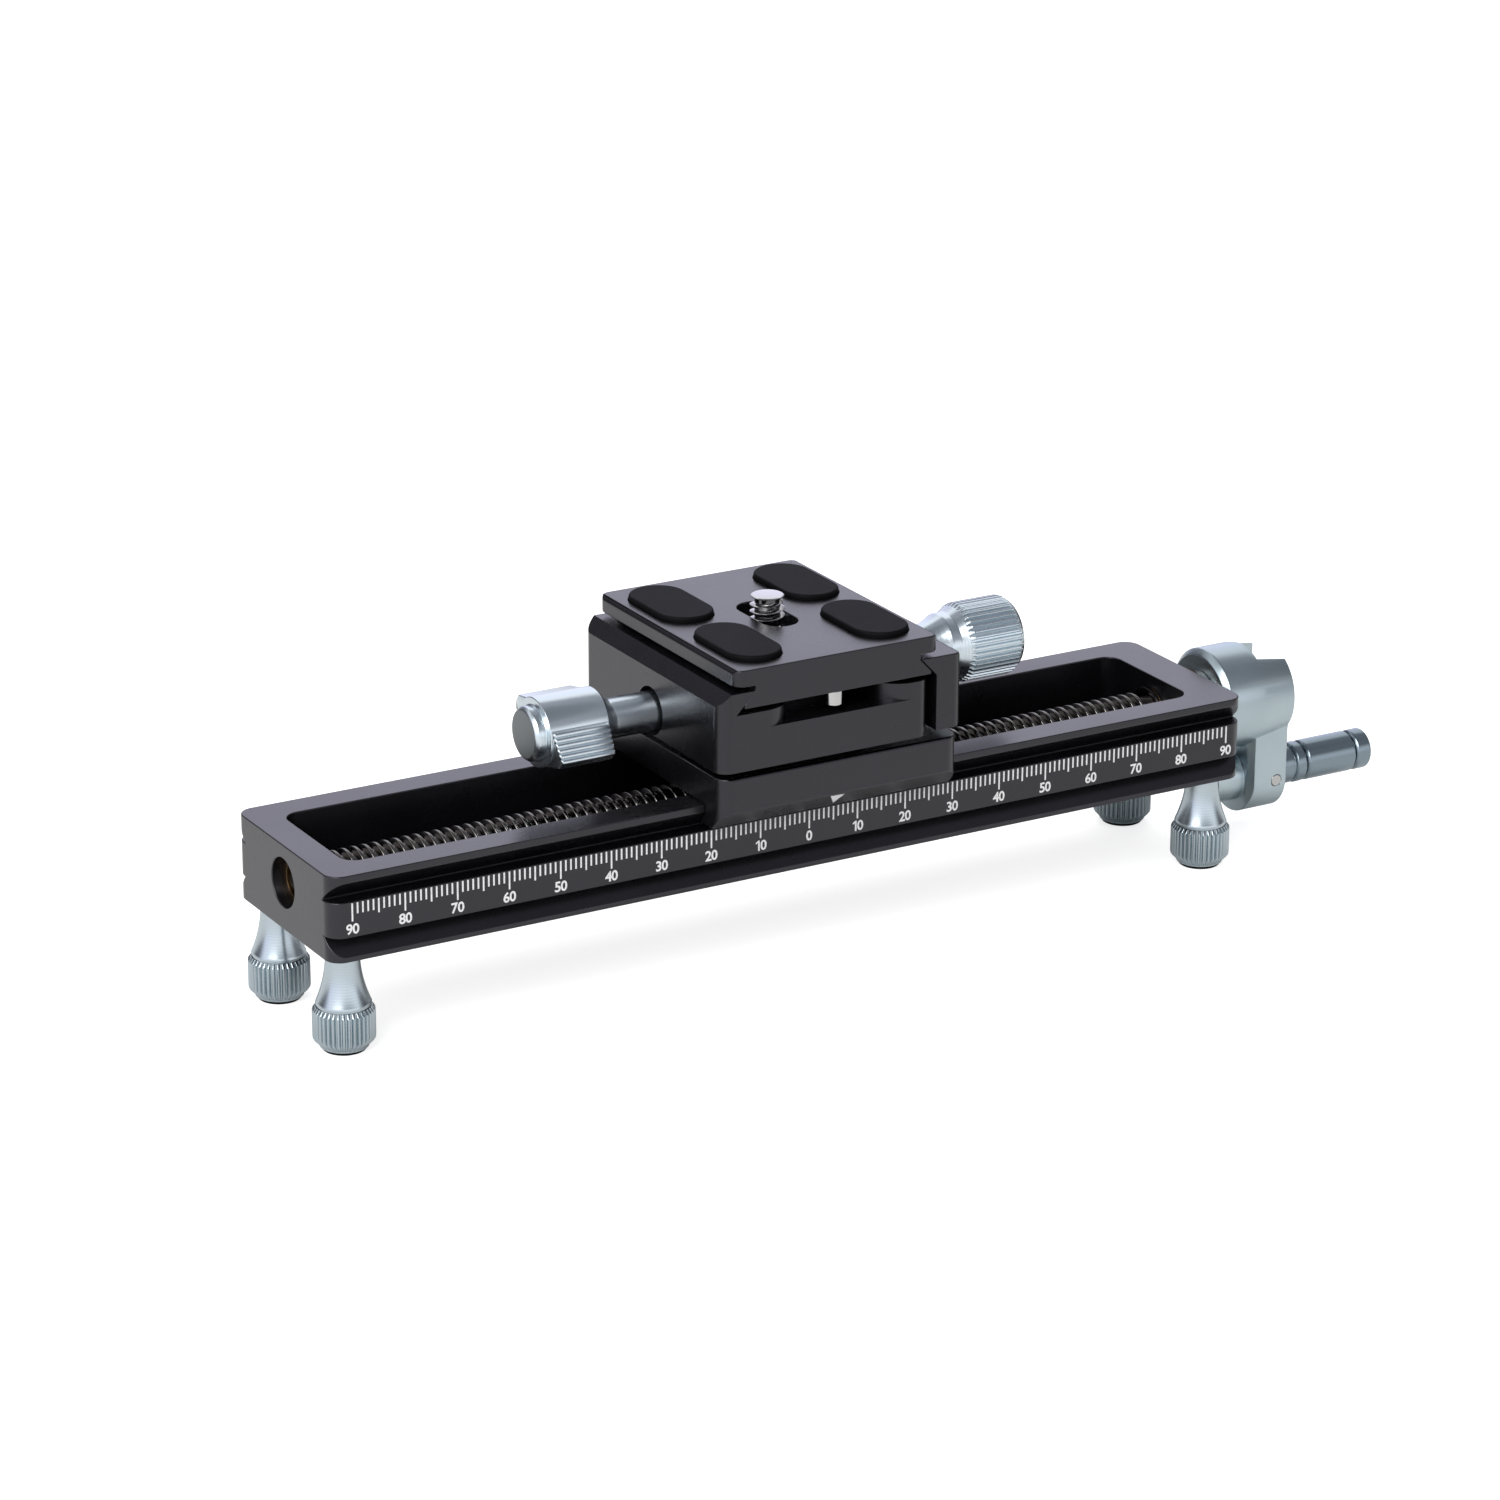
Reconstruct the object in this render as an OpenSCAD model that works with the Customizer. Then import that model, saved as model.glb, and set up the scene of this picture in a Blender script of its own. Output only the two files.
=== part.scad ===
// Macro focusing rail. The origin is the centre of the rail's underside, in the mouth of the
// middle tripod socket. X runs along the rail to the crank, Y to the back and Z up. At rest the
// carriage stands near the scale's zero, the crank hangs down and its grip is unfolded.

/* [Rail] */
// Length of the rail
rail_l = 188; // [180:1:260]
// Width of the rail over its lips
rail_w = 38; // [37:0.1:40]
// Height of the rail
rail_h = 15.8; // [15.6:0.1:17]
// Radius of the rail's upright corners
rail_corner_r = 3; // [1:0.1:4]
// Height of the lip over the upper groove
lip_h = 1.3; // [1:0.05:1.5]
// Depth and height of the upper groove
upper_groove = 3.5; // [3.3:0.05:3.7]
// Height of the band that carries the scale
band_h = 6.55; // [6:0.05:6.8]
// Height of the lower groove
lower_groove_h = 3.55; // [3:0.05:3.7]
// Depth of the lower groove
lower_groove_d = 3.2; // [2.5:0.05:3.5]
// Wall at the left end of the window
left_wall = 6; // [6:0.1:10]
// Wall at the crank end of the window
right_wall = 8.2; // [7:0.1:12]
// Width of the window
window_w = 26; // [24:0.1:27]
// Radius of the window's corners
window_corner_r = 3; // [1:0.1:4]
// Thickness of the floor under the lead screw
rail_floor = 3.6; // [3:0.1:3.8]

/* [Tripod sockets] */
// Radius of the middle socket, for a three-eighths inch screw
large_socket_r = 4.8; // [4:0.05:5]
// Radius of the outer sockets, for a quarter inch screw
small_socket_r = 3.2; // [2.5:0.05:3.5]
// Distance from the middle socket to each outer one
socket_pitch = 22; // [14:0.5:30]

/* [Lead screw] */
// Height of the screw's axis over the rail's underside
screw_z = 8.75; // [8.6:0.05:9]
// Outer radius of the thread
screw_r = 4; // [3.6:0.05:4.1]
// Advance of the carriage in one turn
screw_pitch = 2; // [1:0.25:3]
// Depth of the thread
thread_d = 1.1; // [0.6:0.05:1.3]
// Radius of the plain journals at both ends
journal_r = 3; // [2.4:0.05:3.2]
// Radius of the bore in each end wall
end_bore_r = 4.5; // [4.3:0.05:5]
// Depth of the left journal's end inside the end face
shaft_recess = 2; // [1:0.1:2.5]
// Radius of the collar at the crank end of the thread
collar_r = 4.7; // [4.5:0.05:5]
// Thickness of that collar
collar_t = 0.9; // [0.6:0.1:1.5]
// Radius of the flange on the crank end bush
bush_flange_r = 6.5; // [5.5:0.1:6.8]
// Thickness of that flange
bush_flange_t = 1.4; // [1:0.1:2]
// Thickness of the washer between bush and crank
washer_t = 1.5; // [1:0.1:3]
// Radius of that washer
washer_r = 6.3; // [5:0.1:7]

/* [Crank] */
// Radius of the hub
hub_r = 10; // [9:0.1:11]
// Length of the hub with the arm
hub_l = 16; // [15:0.1:18]
// Radius of the hub at its outer end, which tapers over the arm's thickness
hub_end_r = 9; // [8:0.1:9.5]
// Chamfer on the hub's inner edge
hub_chamfer = 1.1; // [0.5:0.1:1.5]
// Thickness of the arm
arm_t = 8; // [7.6:0.1:9]
// Half width of the arm
arm_r = 7.1; // [6.8:0.1:7.5]
// Distance from the screw's axis to the grip's axis
crank_radius = 16.35; // [15:0.05:20]
// Radius of the blend between hub and arm
arm_blend_r = 6; // [3:0.1:8]
// Width of the slot that takes the folded grip
slot_w = 10.4; // [9:0.1:11]
// Depth of that slot
slot_d = 6.5; // [6:0.1:6.7]
// Radius of the boss behind the grip's pivot
boss_r = 4.8; // [4:0.1:5.5]
// Length of that boss behind the arm
boss_l = 6; // [5:0.1:7]
// Radius of the pin that the grip folds on
fold_pin_r = 1.1; // [0.8:0.05:1.3]
// Depth of that pin under the arm's outer face
fold_pin_in = 2.2; // [1.5:0.05:2.3]
// Radius of the grip
grip_r = 3.9; // [3.5:0.05:4]
// Distance from the fold pin to the free end of the grip
grip_l = 24.9; // [24:0.1:30]
// Length of the turning sleeve of the grip
grip_sleeve_l = 11.4; // [9:0.1:12]
// Length of the cap at the grip's free end
grip_cap_l = 3.3; // [2.5:0.1:4]

/* [Carriage] */
// Place of the carriage's middle on the scale
carriage_x = 3.1; // [0:0.1:5]
// Length of the carriage along the rail
carriage_l = 49; // [46:0.5:56]
// Width of the carriage, the clamp and the plate across the rail
block_w = 50; // [48:0.5:56]
// Thickness of the carriage over the rail
carriage_t = 6.2; // [5.8:0.1:8]
// Radius of the carriage's upright corners
carriage_corner_r = 2.8; // [1:0.1:4]
// Depth of the carriage's skirt beside the rail
skirt_h = 3.65; // [3.4:0.05:4]
// Chamfer under the carriage's long sides
skirt_chamfer = 3.4; // [2:0.05:3.5]
// Length of the drive nut
nut_l = 30; // [20:1:34]
// Width of the drive nut
nut_w = 18; // [14:0.5:20]
// Radius of the post that the clamp turns on
post_r = 7; // [6.5:0.1:7.2]
// Radius of the slip ring under the clamp
slip_ring_r = 17; // [15:0.5:17.5]
// Gap between carriage and clamp
pan_gap = 1.1; // [0.8:0.05:1.5]

/* [Clamp] */
// Distance from the turning axis to the clamp's left face
clamp_left = 24.8; // [24:0.1:26]
// Distance from the turning axis to the clamp's right face
clamp_right = 18.3; // [17.8:0.1:19]
// Height of the clamp
clamp_h = 14.55; // [14.2:0.05:16]
// Radius of the clamp's upright corners
clamp_corner_r = 2.65; // [1:0.05:4]
// Chamfer along the clamp's upper left edge
clamp_chamfer = 2.3; // [1:0.1:2.6]
// Height of the dovetail space
dovetail_h = 4; // [3.8:0.05:4.2]
// Distance from the clamp's left face to the tip of the fixed nose
nose_in = 7; // [6.8:0.1:7.5]
// Overhang of the fixed nose
nose_run = 3.8; // [3.4:0.05:3.9]
// Width of the stop channels in the clamp's floor
channel_w = 17; // [14:0.5:18]
// Depth of those channels
channel_d = 3.1; // [2.8:0.05:3.3]
// Length of each channel from its mouth
channel_l = 14; // [12:0.5:15]
// Radius at the mouth of each channel
channel_mouth_r = 6.5; // [4:0.1:7]
// Gap between clamp and jaw when the plate is held
jaw_gap = 1.1; // [0.8:0.05:1.5]
// Thickness of the jaw
jaw_t = 5.6; // [5:0.1:7]
// Height of the jaw's lower face over the clamp's
jaw_lift = 0.6; // [0.3:0.05:1]
// Reach of the jaw's nose over the plate
jaw_nose = 3.3; // [3:0.05:3.6]

/* [Clamp knobs] */
// Height of the turning lock's axis over the clamp's underside
lock_z = 4.4; // [4.3:0.05:4.6]
// Height of the jaw screw's axis over the clamp's underside
jaw_screw_z = 6.52; // [6.4:0.02:6.7]
// Radius of the turning lock's neck
lock_neck_r = 3.65; // [3:0.05:4]
// Length of that neck outside the clamp
lock_neck_l = 10.9; // [10:0.1:13]
// Radius of the turning lock's barrel
lock_knob_r = 6.4; // [6:0.1:6.6]
// Length of that knob
lock_knob_l = 12.4; // [10:0.1:14]
// Radius over the two grip wings of that knob
lock_wing_r = 9.4; // [8.6:0.1:9.8]
// Length of the boss on the end of that knob
lock_boss_l = 2.1; // [1:0.1:3]
// Radius of that boss
lock_boss_r = 5; // [4:0.1:5.5]
// Radius of the jaw knob's neck
jaw_neck_r = 3.4; // [3.2:0.05:4]
// Length of that neck with its flare
jaw_flare_l = 10.2; // [9:0.1:12]
// Radius of the flare's rim
jaw_rim_r = 6; // [5:0.1:6.4]
// Radius of the jaw knob over its knurl
jaw_knob_r = 7.4; // [6.8:0.05:7.5]
// Length of the knurled part
jaw_knurl_l = 10.6; // [8:0.1:12]

/* [Release plate] */
// Width of the plate's flange
plate_w = 41.6; // [40:0.1:44]
// Thickness of the plate's flange
flange_t = 3.15; // [2.8:0.05:4]
// Gap between clamp and flange
flange_gap = 0.9; // [0.5:0.05:1.2]
// Radius of the plate's upright corners
plate_corner_r = 2.1; // [1:0.1:3]
// Reach of the plate's dovetail beyond its neck
plate_reach = 2.4; // [2:0.05:2.6]
// Height of the plate's dovetail
plate_dovetail_h = 3.1; // [2.8:0.05:3.2]
// Length of the slot for the camera screw
camera_slot_l = 15; // [12:0.5:18]
// Width of that slot
camera_slot_w = 6.8; // [6.6:0.05:7.2]
// Radius of the camera screw's quarter inch thread
camera_screw_r = 3.175; // [3:0.005:3.25]
// Height of the camera screw over the plate
camera_screw_out = 3.7; // [3:0.1:6]
// Width of each rubber pad
pad_w = 10.7; // [9:0.1:11]
// Length of each rubber pad
pad_l = 20.2; // [16:0.1:21]
// Height of each rubber pad over the plate
pad_out = 1; // [0.5:0.05:1.5]
// Distance between the pads' middles across the camera screw
pad_pitch_x = 26; // [24:0.1:28]
// Distance between the pads' middles along the slot
pad_pitch_y = 24; // [22:0.1:26]

/* [Feet] */
// Height of the rail over the ground
foot_h = 18.2; // [15:0.1:24]
// Distance of each foot from the rail's end
foot_in_x = 4.8; // [4.6:0.05:6]
// Distance of each foot from the rail's side
foot_in_y = 6; // [5.8:0.1:7]
// Radius of the foot's neck
foot_neck_r = 3; // [2.5:0.1:3.5]
// Radius over the foot's knurl
foot_r = 5.5; // [5.4:0.1:5.8]
// Height of the knurled part
foot_knurl_h = 7.5; // [5:0.1:8]
// Radius of the rubber sole
sole_r = 3.9; // [3:0.05:4]
// Height of the sole under the foot
sole_out = 0.7; // [0.5:0.1:2.5]

/* [Hidden] */

$fn = 48;
// Overrun of every cut past the face that it opens
over = 1;
// Radial clearance where one piece turns or slides in another
running = 0.05;
// Radial clearance round a thread or a pressed piece
seat = 0.02;
// Gap between sliding faces, and between faces that only come close
slide_gap = 0.1;

// Finishes
black_anodised = [0.16, 0.16, 0.18];
grey_anodised = [0.62, 0.67, 0.70];
bright_steel = [0.80, 0.80, 0.80];
bronze = [0.72, 0.53, 0.30];
black_rubber = [0.08, 0.08, 0.08];
white_plastic = [0.90, 0.90, 0.88];

// Places along the rail
rail_end = rail_l / 2;
window_left = -rail_end + left_wall;
window_right = rail_end - right_wall;
rail_lip = rail_h - lip_h;
band_top = rail_lip - upper_groove;
band_foot = band_top - band_h;
lower_lip = band_foot - lower_groove_h;
foot_x = rail_end - foot_in_x;
foot_y = rail_w / 2 - foot_in_y;

// Small sizes of the bushes and the lead screw
bush_l = left_wall - shaft_recess - slide_gap;
thread_start = window_left + 2 * slide_gap;
thread_limit = window_right - 2 * slide_gap - collar_t;
thread_turns = floor((thread_limit - thread_start) / screw_pitch);
thread_root_r = screw_r - thread_d;
// Places along one turn of the thread where a flank starts or ends, as shares of the pitch
thread_shares = [0.16, 0.33, 0.67, 0.84];
journal_dome = 1;
hub_x = rail_end + bush_flange_t + washer_t + slide_gap;
hub_end = hub_x + hub_l;
arm_x = hub_end - arm_t;
slot_x = hub_end - slot_d;
crank_screw_r = 1.5;
crank_screw_head_r = 2.9;
crank_screw_head_h = 2.2;
crank_screw_l = 9.2;
hub_web = 1.2;
// The blends to the arm start inside the hub's taper and run into it
blend_start_r = hub_end_r - 5 * slide_gap;
head_x = slot_x - crank_screw_head_h - slide_gap;
shaft_end = head_x - hub_web;

// Small sizes of the fold and the grip
arm_bevel_x = 0.7;
arm_bevel_y = 2;
fold_x = hub_end - fold_pin_in;
grip_z = screw_z - crank_radius;
knuckle_r = 3.6;
knuckle_w = slot_w - 4 * slide_gap;
detent_ball_r = 1.5;
detent_plug_r = 2;
detent_plug_l = 2.2;
detent_wire_r = 0.2;
detent_coils = 5;
dimple_d = 0.4;
grip_end = fold_x + grip_l;
cap_x = grip_end - grip_cap_l;
sleeve_x = cap_x - grip_sleeve_l - 2 * slide_gap;
spindle_r = 2.4;
spindle_bore_r = 1.25;
cap_stem_l = 5;
detent_ball_x = fold_x - knuckle_r - running - detent_ball_r;
grip_edge = 0.5;
grip_neck_r = 3.3;
grip_ring_l = 2.6;
grip_groove_l = 0.6;

// Small sizes of the carriage
block_top = rail_h + carriage_t;
block_foot = rail_h - skirt_h;
top_edge = 0.4;
lip_gap = 0.2;
slope_gap = 0.15;
inner_y = rail_w / 2 + lip_gap;
hook_y = rail_w / 2 - (rail_lip - block_foot) + slope_gap;
// Inner side of the carriage's back: beside the lip, along its slope and under it
inner_side = [[inner_y, rail_h + slide_gap], [inner_y, rail_lip + lip_gap - slope_gap],
    [hook_y, block_foot]];
// Thickness of the gib strip as a share of the carriage's wall beside the rail
gib_share = 0.31;
gib_t = (block_w / 2 - inner_y) * gib_share;
gib_in = 2;
gib_up = 3.2;
gib_screw_up = 1.6;
gib_l = carriage_l - 2 * gib_in;
gib_y = inner_y + gib_t;
gib_top = rail_h + gib_up;
gib_screw_r = 1.5;
gib_screw_pitch = 15;
gib_z = rail_h + gib_screw_up;
nut_foot = rail_floor + 0.4;
nut_screw_r = 1.5;
nut_screw_head_r = 2.8;
nut_screw_head_h = 1.6;
nut_screw_x = 11;
nut_screw_y = 6;
nut_screw_l = 5.4;
nut_screw_shank = nut_screw_l - nut_screw_head_h;
post_seat = 1.5;
post_h = 9.4;
post_waist_d = 1.5;
post_waist_h = 4.4;
post_screw_r = 2;
post_screw_l = 8;
post_screw_head_r = 3.7;
post_screw_head_h = 2.2;
post_foot = block_top - post_seat;

// Small sizes of the clamp
clamp_z = block_top + pan_gap;
clamp_top = clamp_z + clamp_h;
clamp_floor = clamp_top - dovetail_h;
clamp_x0 = carriage_x - clamp_left;
clamp_x1 = carriage_x + clamp_right;
clamp_edge = 1.2;
nose_x = clamp_x0 + nose_in;
post_bore_h = post_foot + post_h + slide_gap - clamp_z;
lock_axis_z = clamp_z + lock_z;
jaw_axis_z = clamp_z + jaw_screw_z;
channel_shift = 0.3;
channel_x = carriage_x - channel_shift;
lock_stud_r = 2.5;
lock_shoe_l = 6.4;
shoe_x = carriage_x - post_r + post_waist_d - slide_gap - lock_shoe_l;
lock_tip_r = 0.65;
lock_counterbore_r = 4.5;
lock_counterbore_l = 2.2;
lock_neck_in = 1.5;
jaw_x = clamp_x1 + jaw_gap;
jaw_z = clamp_z + jaw_lift;
jaw_edge = 0.8;
jaw_stud_r = 3;
jaw_stud_in = 8.9;
guide_pin_r = 1.5;
guide_pin_y = 17;
guide_pin_up = 4.2;
guide_pin_z = clamp_z + guide_pin_up;
guide_pin_in = 9.4;
guide_pin_out = 4.5;
jaw_spring_r = 2.2;
jaw_spring_wire_r = 0.35;
jaw_spring_coils = 5;
jaw_spring_in = 4.9;
spring_bore_r = 2.75;

// Small sizes of the knobs
lock_x = clamp_x0 - lock_neck_l;
lock_flare_r = 2;
lock_edge = 0.6;
lock_wing_l = 11.5;
lock_wing_slant = 1.2;
lock_ridges = 6;
lock_ridge_r = 0.5;
lock_ridge_rise = 0.28;
// Angles about the knob's axis where a wing leaves the barrel, has its first and last ridge,
// turns back and meets the barrel again
wing_angles = [161, 168.8, 200.9, 210.6, 243];
jaw_knob_x = jaw_x + jaw_t + slide_gap;
jaw_rim_l = 1.6;
jaw_cone_l = 1.8;
jaw_knurl_d = 0.55;
jaw_knurls = 42;
jaw_tip_l = 0.7;
jaw_tip_d = 0.9;

// Small sizes of the plate
plate_neck_x0 = nose_x + slide_gap;
plate_neck_x1 = jaw_x - jaw_nose - slide_gap;
plate_x = (plate_neck_x0 + plate_neck_x1) / 2;
flange_z = clamp_top + flange_gap;
plate_top = flange_z + flange_t;
plate_foot = clamp_top - plate_dovetail_h;
plate_edge = 0.7;
keyway_w = 12;
keyway_l = 26;
keyway_h = 3.5;
clip_t = 0.6;
clip_r = 5.6;
clip_l = 14;
clip_z = plate_foot + keyway_h - slide_gap - clip_t;
camera_head_r = 5;
camera_head_h = 2.4;
camera_neck_r = 2.7;
camera_chamfer = 0.5;
pad_in = 0.6;
stop_in = 2;
stop_y = block_w / 2 - stop_in;
stop_r = 1.7;
stop_out = 2.7;
stop_thread_r = 1.25;
stop_thread_l = 3;

// Small sizes of the feet
foot_stud_r = 1.5;
foot_stud_l = 6.5;
foot_knurls = 36;
foot_knurl_d = 0.45;
foot_edge = 1.2;
sole_in = 1.5;
flare_steps = 8;

// Points along a round stretch, n steps from angle a to angle b
function arc(x, y, r, a, b, n) =
    [for (i = [0:n]) [x + r * cos(a + (b - a) * i / n), y + r * sin(a + (b - a) * i / n)]];

// Outline of a straight knurl: the places and heights of one tooth are shares of the step
tooth_shares = [[0, 0], [0.22, 1], [0.5, 1], [0.72, 0]];
function knurl(r, depth, count) =
    [for (i = [0:count - 1]) for (t = tooth_shares)
        (r - depth * (1 - t[1])) * [cos((i + t[0]) * 360 / count), sin((i + t[0]) * 360 / count)]];

// A concave flare from radius r0 at place z0 to the wider r1 at z1
function flare(r0, z0, r1, z1) =
    let (h = z1 - z0, g = r1 - r0, big = (h * h + g * g) / (2 * g))
    [for (i = [0:flare_steps])
        [r0 + big - sqrt(big * big - pow(h * i / flare_steps, 2)), z0 + h * i / flare_steps]];

// Places a profile drawn in Y and Z, and its extrusion, at x
module at_x(x) {
    translate([x, 0, 0]) rotate([90, 0, 90]) children();
}

// Turns what stands on Z so that it lies along X from x
module along_x(x) {
    translate([x, 0, 0]) rotate([0, 90, 0]) children();
}

// A round bar or bore along X at height z
module x_rod(x, z, r, l, y = 0) {
    translate([x, y, z]) rotate([0, 90, 0]) cylinder(r = r, h = l);
}

// A round bar or bore that starts at y and runs to the back
module y_rod(x, y, z, r, l) {
    translate([x, y + l, z]) rotate([90, 0, 0]) cylinder(r = r, h = l);
}

// A rectangle with round corners
module round_rect(w, d, r) {
    square([w - 2 * r, d], center = true);
    square([w, d - 2 * r], center = true);
    for (x = [-1, 1]) for (y = [-1, 1])
        translate([x * (w / 2 - r), y * (d / 2 - r)]) circle(r = r);
}

// A slot outline of overall width w and length l along Y
module obround(w, l) {
    square([w, l - w], center = true);
    for (y = [-1, 1]) translate([0, y * (l - w) / 2]) circle(d = w);
}

// A coil spring that stands on Z: one tube of six sides, eight rings a turn
module coil(r, wire_r, l, turns) {
    rings = turns * 8;
    rise = l - 2 * wire_r;
    points = [for (i = [0:rings]) for (k = [0:5])
        let (a = i * 45, d = r + wire_r * cos(k * 60))
        [d * cos(a), d * sin(a), wire_r + rise * i / rings + wire_r * sin(k * 60)]];
    sides = [for (i = [0:rings - 1]) for (k = [0:5])
        let (p = i * 6 + k, q = i * 6 + (k + 1) % 6)
        each [[p, q, p + 6], [q, q + 6, p + 6]]];
    first = [for (k = [1:4]) [0, k + 1, k]];
    last = [for (k = [1:4]) [rings * 6, rings * 6 + k, rings * 6 + k + 1]];
    polyhedron(points, concat(sides, first, last));
}

// Half outline of the rail: lips, two undercut grooves and the scale band between them
module rail_outline() {
    w = rail_w / 2;
    side = [[w, 0], [w, lower_lip], [w - lower_groove_d, band_foot], [w, band_foot],
        [w, band_top], [w - upper_groove, band_top], [w, rail_lip], [w, rail_h]];
    polygon(concat(side, [for (i = [len(side) - 1:-1:0]) [-side[i][0], side[i][1]]]));
}

module rail_frame() {
    color(black_anodised) difference() {
        intersection() {
            at_x(-rail_end) linear_extrude(rail_l) rail_outline();
            linear_extrude(rail_h) round_rect(rail_l, rail_w, rail_corner_r);
        }
        translate([(window_left + window_right) / 2, 0, rail_floor])
            linear_extrude(rail_h) round_rect(window_right - window_left, window_w, window_corner_r);
        x_rod(-rail_end - over, screw_z, end_bore_r, rail_l + 2 * over);
        translate([0, 0, -over]) cylinder(r = large_socket_r, h = rail_floor + 2 * over);
        for (x = [-1, 1])
            translate([x * socket_pitch, 0, -over]) cylinder(r = small_socket_r, h = rail_floor + 2 * over);
        for (x = [-1, 1]) for (y = [-1, 1])
            translate([x * foot_x, y * foot_y, -over])
                cylinder(r = foot_stud_r + running, h = foot_stud_l + slide_gap + over);
    }
}

// Plain bearing in the left end wall, set back inside the bore
module left_bush() {
    color(bronze) difference() {
        x_rod(window_left - bush_l, screw_z, end_bore_r, bush_l);
        x_rod(window_left - bush_l - over, screw_z, journal_r + running, bush_l + 2 * over);
    }
}

// Flanged bearing in the wall at the crank end
module right_bush() {
    color(bronze) difference() {
        union() {
            x_rod(window_right, screw_z, end_bore_r, right_wall);
            x_rod(rail_end, screw_z, bush_flange_r, bush_flange_t);
        }
        x_rod(window_right - over, screw_z, journal_r + running, right_wall + bush_flange_t + 2 * over);
    }
}

module thrust_washer() {
    x = rail_end + bush_flange_t;
    color(bright_steel) difference() {
        x_rod(x, screw_z, washer_r, washer_t);
        x_rod(x - over, screw_z, journal_r + running, washer_t + 2 * over);
    }
}

// Spindle with a ridge at each pitch, a collar against the end wall and two plain journals
module lead_screw() {
    left = -rail_end + shaft_recess;
    dome = [for (p = arc(0, 0, 1, 180, 90, 4)) [journal_r * p[1], left + journal_dome * (1 + p[0])]];
    ridges = [for (i = [0:thread_turns - 1]) for (k = [0:3])
        [(k == 1 || k == 2) ? screw_r : thread_root_r,
            thread_start + (i + thread_shares[k]) * screw_pitch]];
    tap = crank_screw_l - hub_web;
    color(bright_steel) translate([0, 0, screw_z]) along_x(0) rotate_extrude() polygon(concat(
        dome,
        [[journal_r, thread_start], [thread_root_r, thread_start]],
        ridges,
        [[thread_root_r, thread_limit], [collar_r, thread_limit],
            [collar_r, thread_limit + collar_t], [journal_r, thread_limit + collar_t],
            [journal_r, shaft_end - seat], [crank_screw_r + seat, shaft_end - seat],
            [crank_screw_r + seat, shaft_end - tap], [0, shaft_end - tap]]));
}

// Outline of the crank across the screw's axis: hub, arm and round end in one curve
module crank_outline() {
    reach = arm_r + arm_blend_r;
    drop = -sqrt(pow(blend_start_r + arm_blend_r, 2) - pow(reach, 2));
    tangent = blend_start_r / (blend_start_r + arm_blend_r);
    circle(r = blend_start_r);
    translate([0, -crank_radius]) circle(r = arm_r);
    translate([-arm_r, -crank_radius]) square([2 * arm_r, crank_radius]);
    for (s = [-1, 1]) difference() {
        polygon([[0, 0], [s * reach * tangent, drop * tangent], [s * reach, drop], [0, drop]]);
        translate([s * reach, drop]) circle(r = arm_blend_r);
    }
}

// Plan of the arm: its two long edges towards the rail are bevelled
module arm_plan() {
    half = [[arm_x, arm_bevel_y - arm_r], [arm_x + arm_bevel_x, -arm_r],
        [arm_x + arm_bevel_x, -hub_r - over], [hub_end + over, -hub_r - over]];
    polygon(concat(half, [for (i = [len(half) - 1:-1:0]) [half[i][0], -half[i][1]]]));
}

module crank_arm() {
    color(grey_anodised) difference() {
        union() {
            translate([0, 0, screw_z]) along_x(hub_x) rotate_extrude() polygon([[0, 0],
                [hub_r - hub_chamfer, 0], [hub_r, hub_chamfer], [hub_r, hub_l - arm_t],
                [hub_end_r, hub_l], [0, hub_l]]);
            intersection() {
                translate([0, 0, screw_z]) at_x(arm_x) linear_extrude(arm_t) crank_outline();
                translate([0, 0, grip_z - hub_r]) linear_extrude(crank_radius + 3 * hub_r) arm_plan();
            }
            x_rod(arm_x - boss_l, grip_z, boss_r, boss_l);
        }
        x_rod(hub_x - over, screw_z, journal_r + seat, shaft_end - hub_x + over);
        x_rod(hub_x, screw_z, crank_screw_r + running, hub_l);
        x_rod(head_x, screw_z, crank_screw_head_r + running, hub_l);
        x_rod(slot_x, grip_z, slot_w / 2, slot_d + over);
        translate([slot_x, -slot_w / 2, grip_z]) cube([slot_d + over, slot_w, crank_radius + hub_r + over]);
        y_rod(fold_x, -arm_r - over, grip_z, fold_pin_r + seat, 2 * (arm_r + over));
        x_rod(arm_x - boss_l - over, grip_z, detent_plug_r + seat, detent_plug_l + over + slide_gap);
        x_rod(arm_x - boss_l, grip_z, detent_ball_r + running, boss_l + arm_t - slot_d + over);
    }
}

// Holds the crank on the lead screw, its head under the floor of the slot
module crank_screw() {
    color(bright_steel) {
        x_rod(head_x, screw_z, crank_screw_head_r, crank_screw_head_h);
        x_rod(head_x + slide_gap - crank_screw_l, screw_z, crank_screw_r, crank_screw_l);
    }
}

// Ball, spring and plug in the boss: the ball holds the grip open or folded
module detent_plug() {
    color(bright_steel) x_rod(arm_x - boss_l, grip_z, detent_plug_r, detent_plug_l);
}

module detent_spring() {
    x = arm_x - boss_l + detent_plug_l + slide_gap;
    color(bright_steel) translate([0, 0, grip_z]) along_x(x)
        coil(detent_ball_r - running - detent_wire_r, detent_wire_r,
            detent_ball_x - detent_ball_r - slide_gap - x, detent_coils);
}

module detent_ball() {
    color(bright_steel) translate([detent_ball_x, 0, grip_z]) sphere(r = detent_ball_r);
}

module fold_pin() {
    color(bright_steel) y_rod(fold_x, -arm_r, grip_z, fold_pin_r, 2 * arm_r);
}

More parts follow.
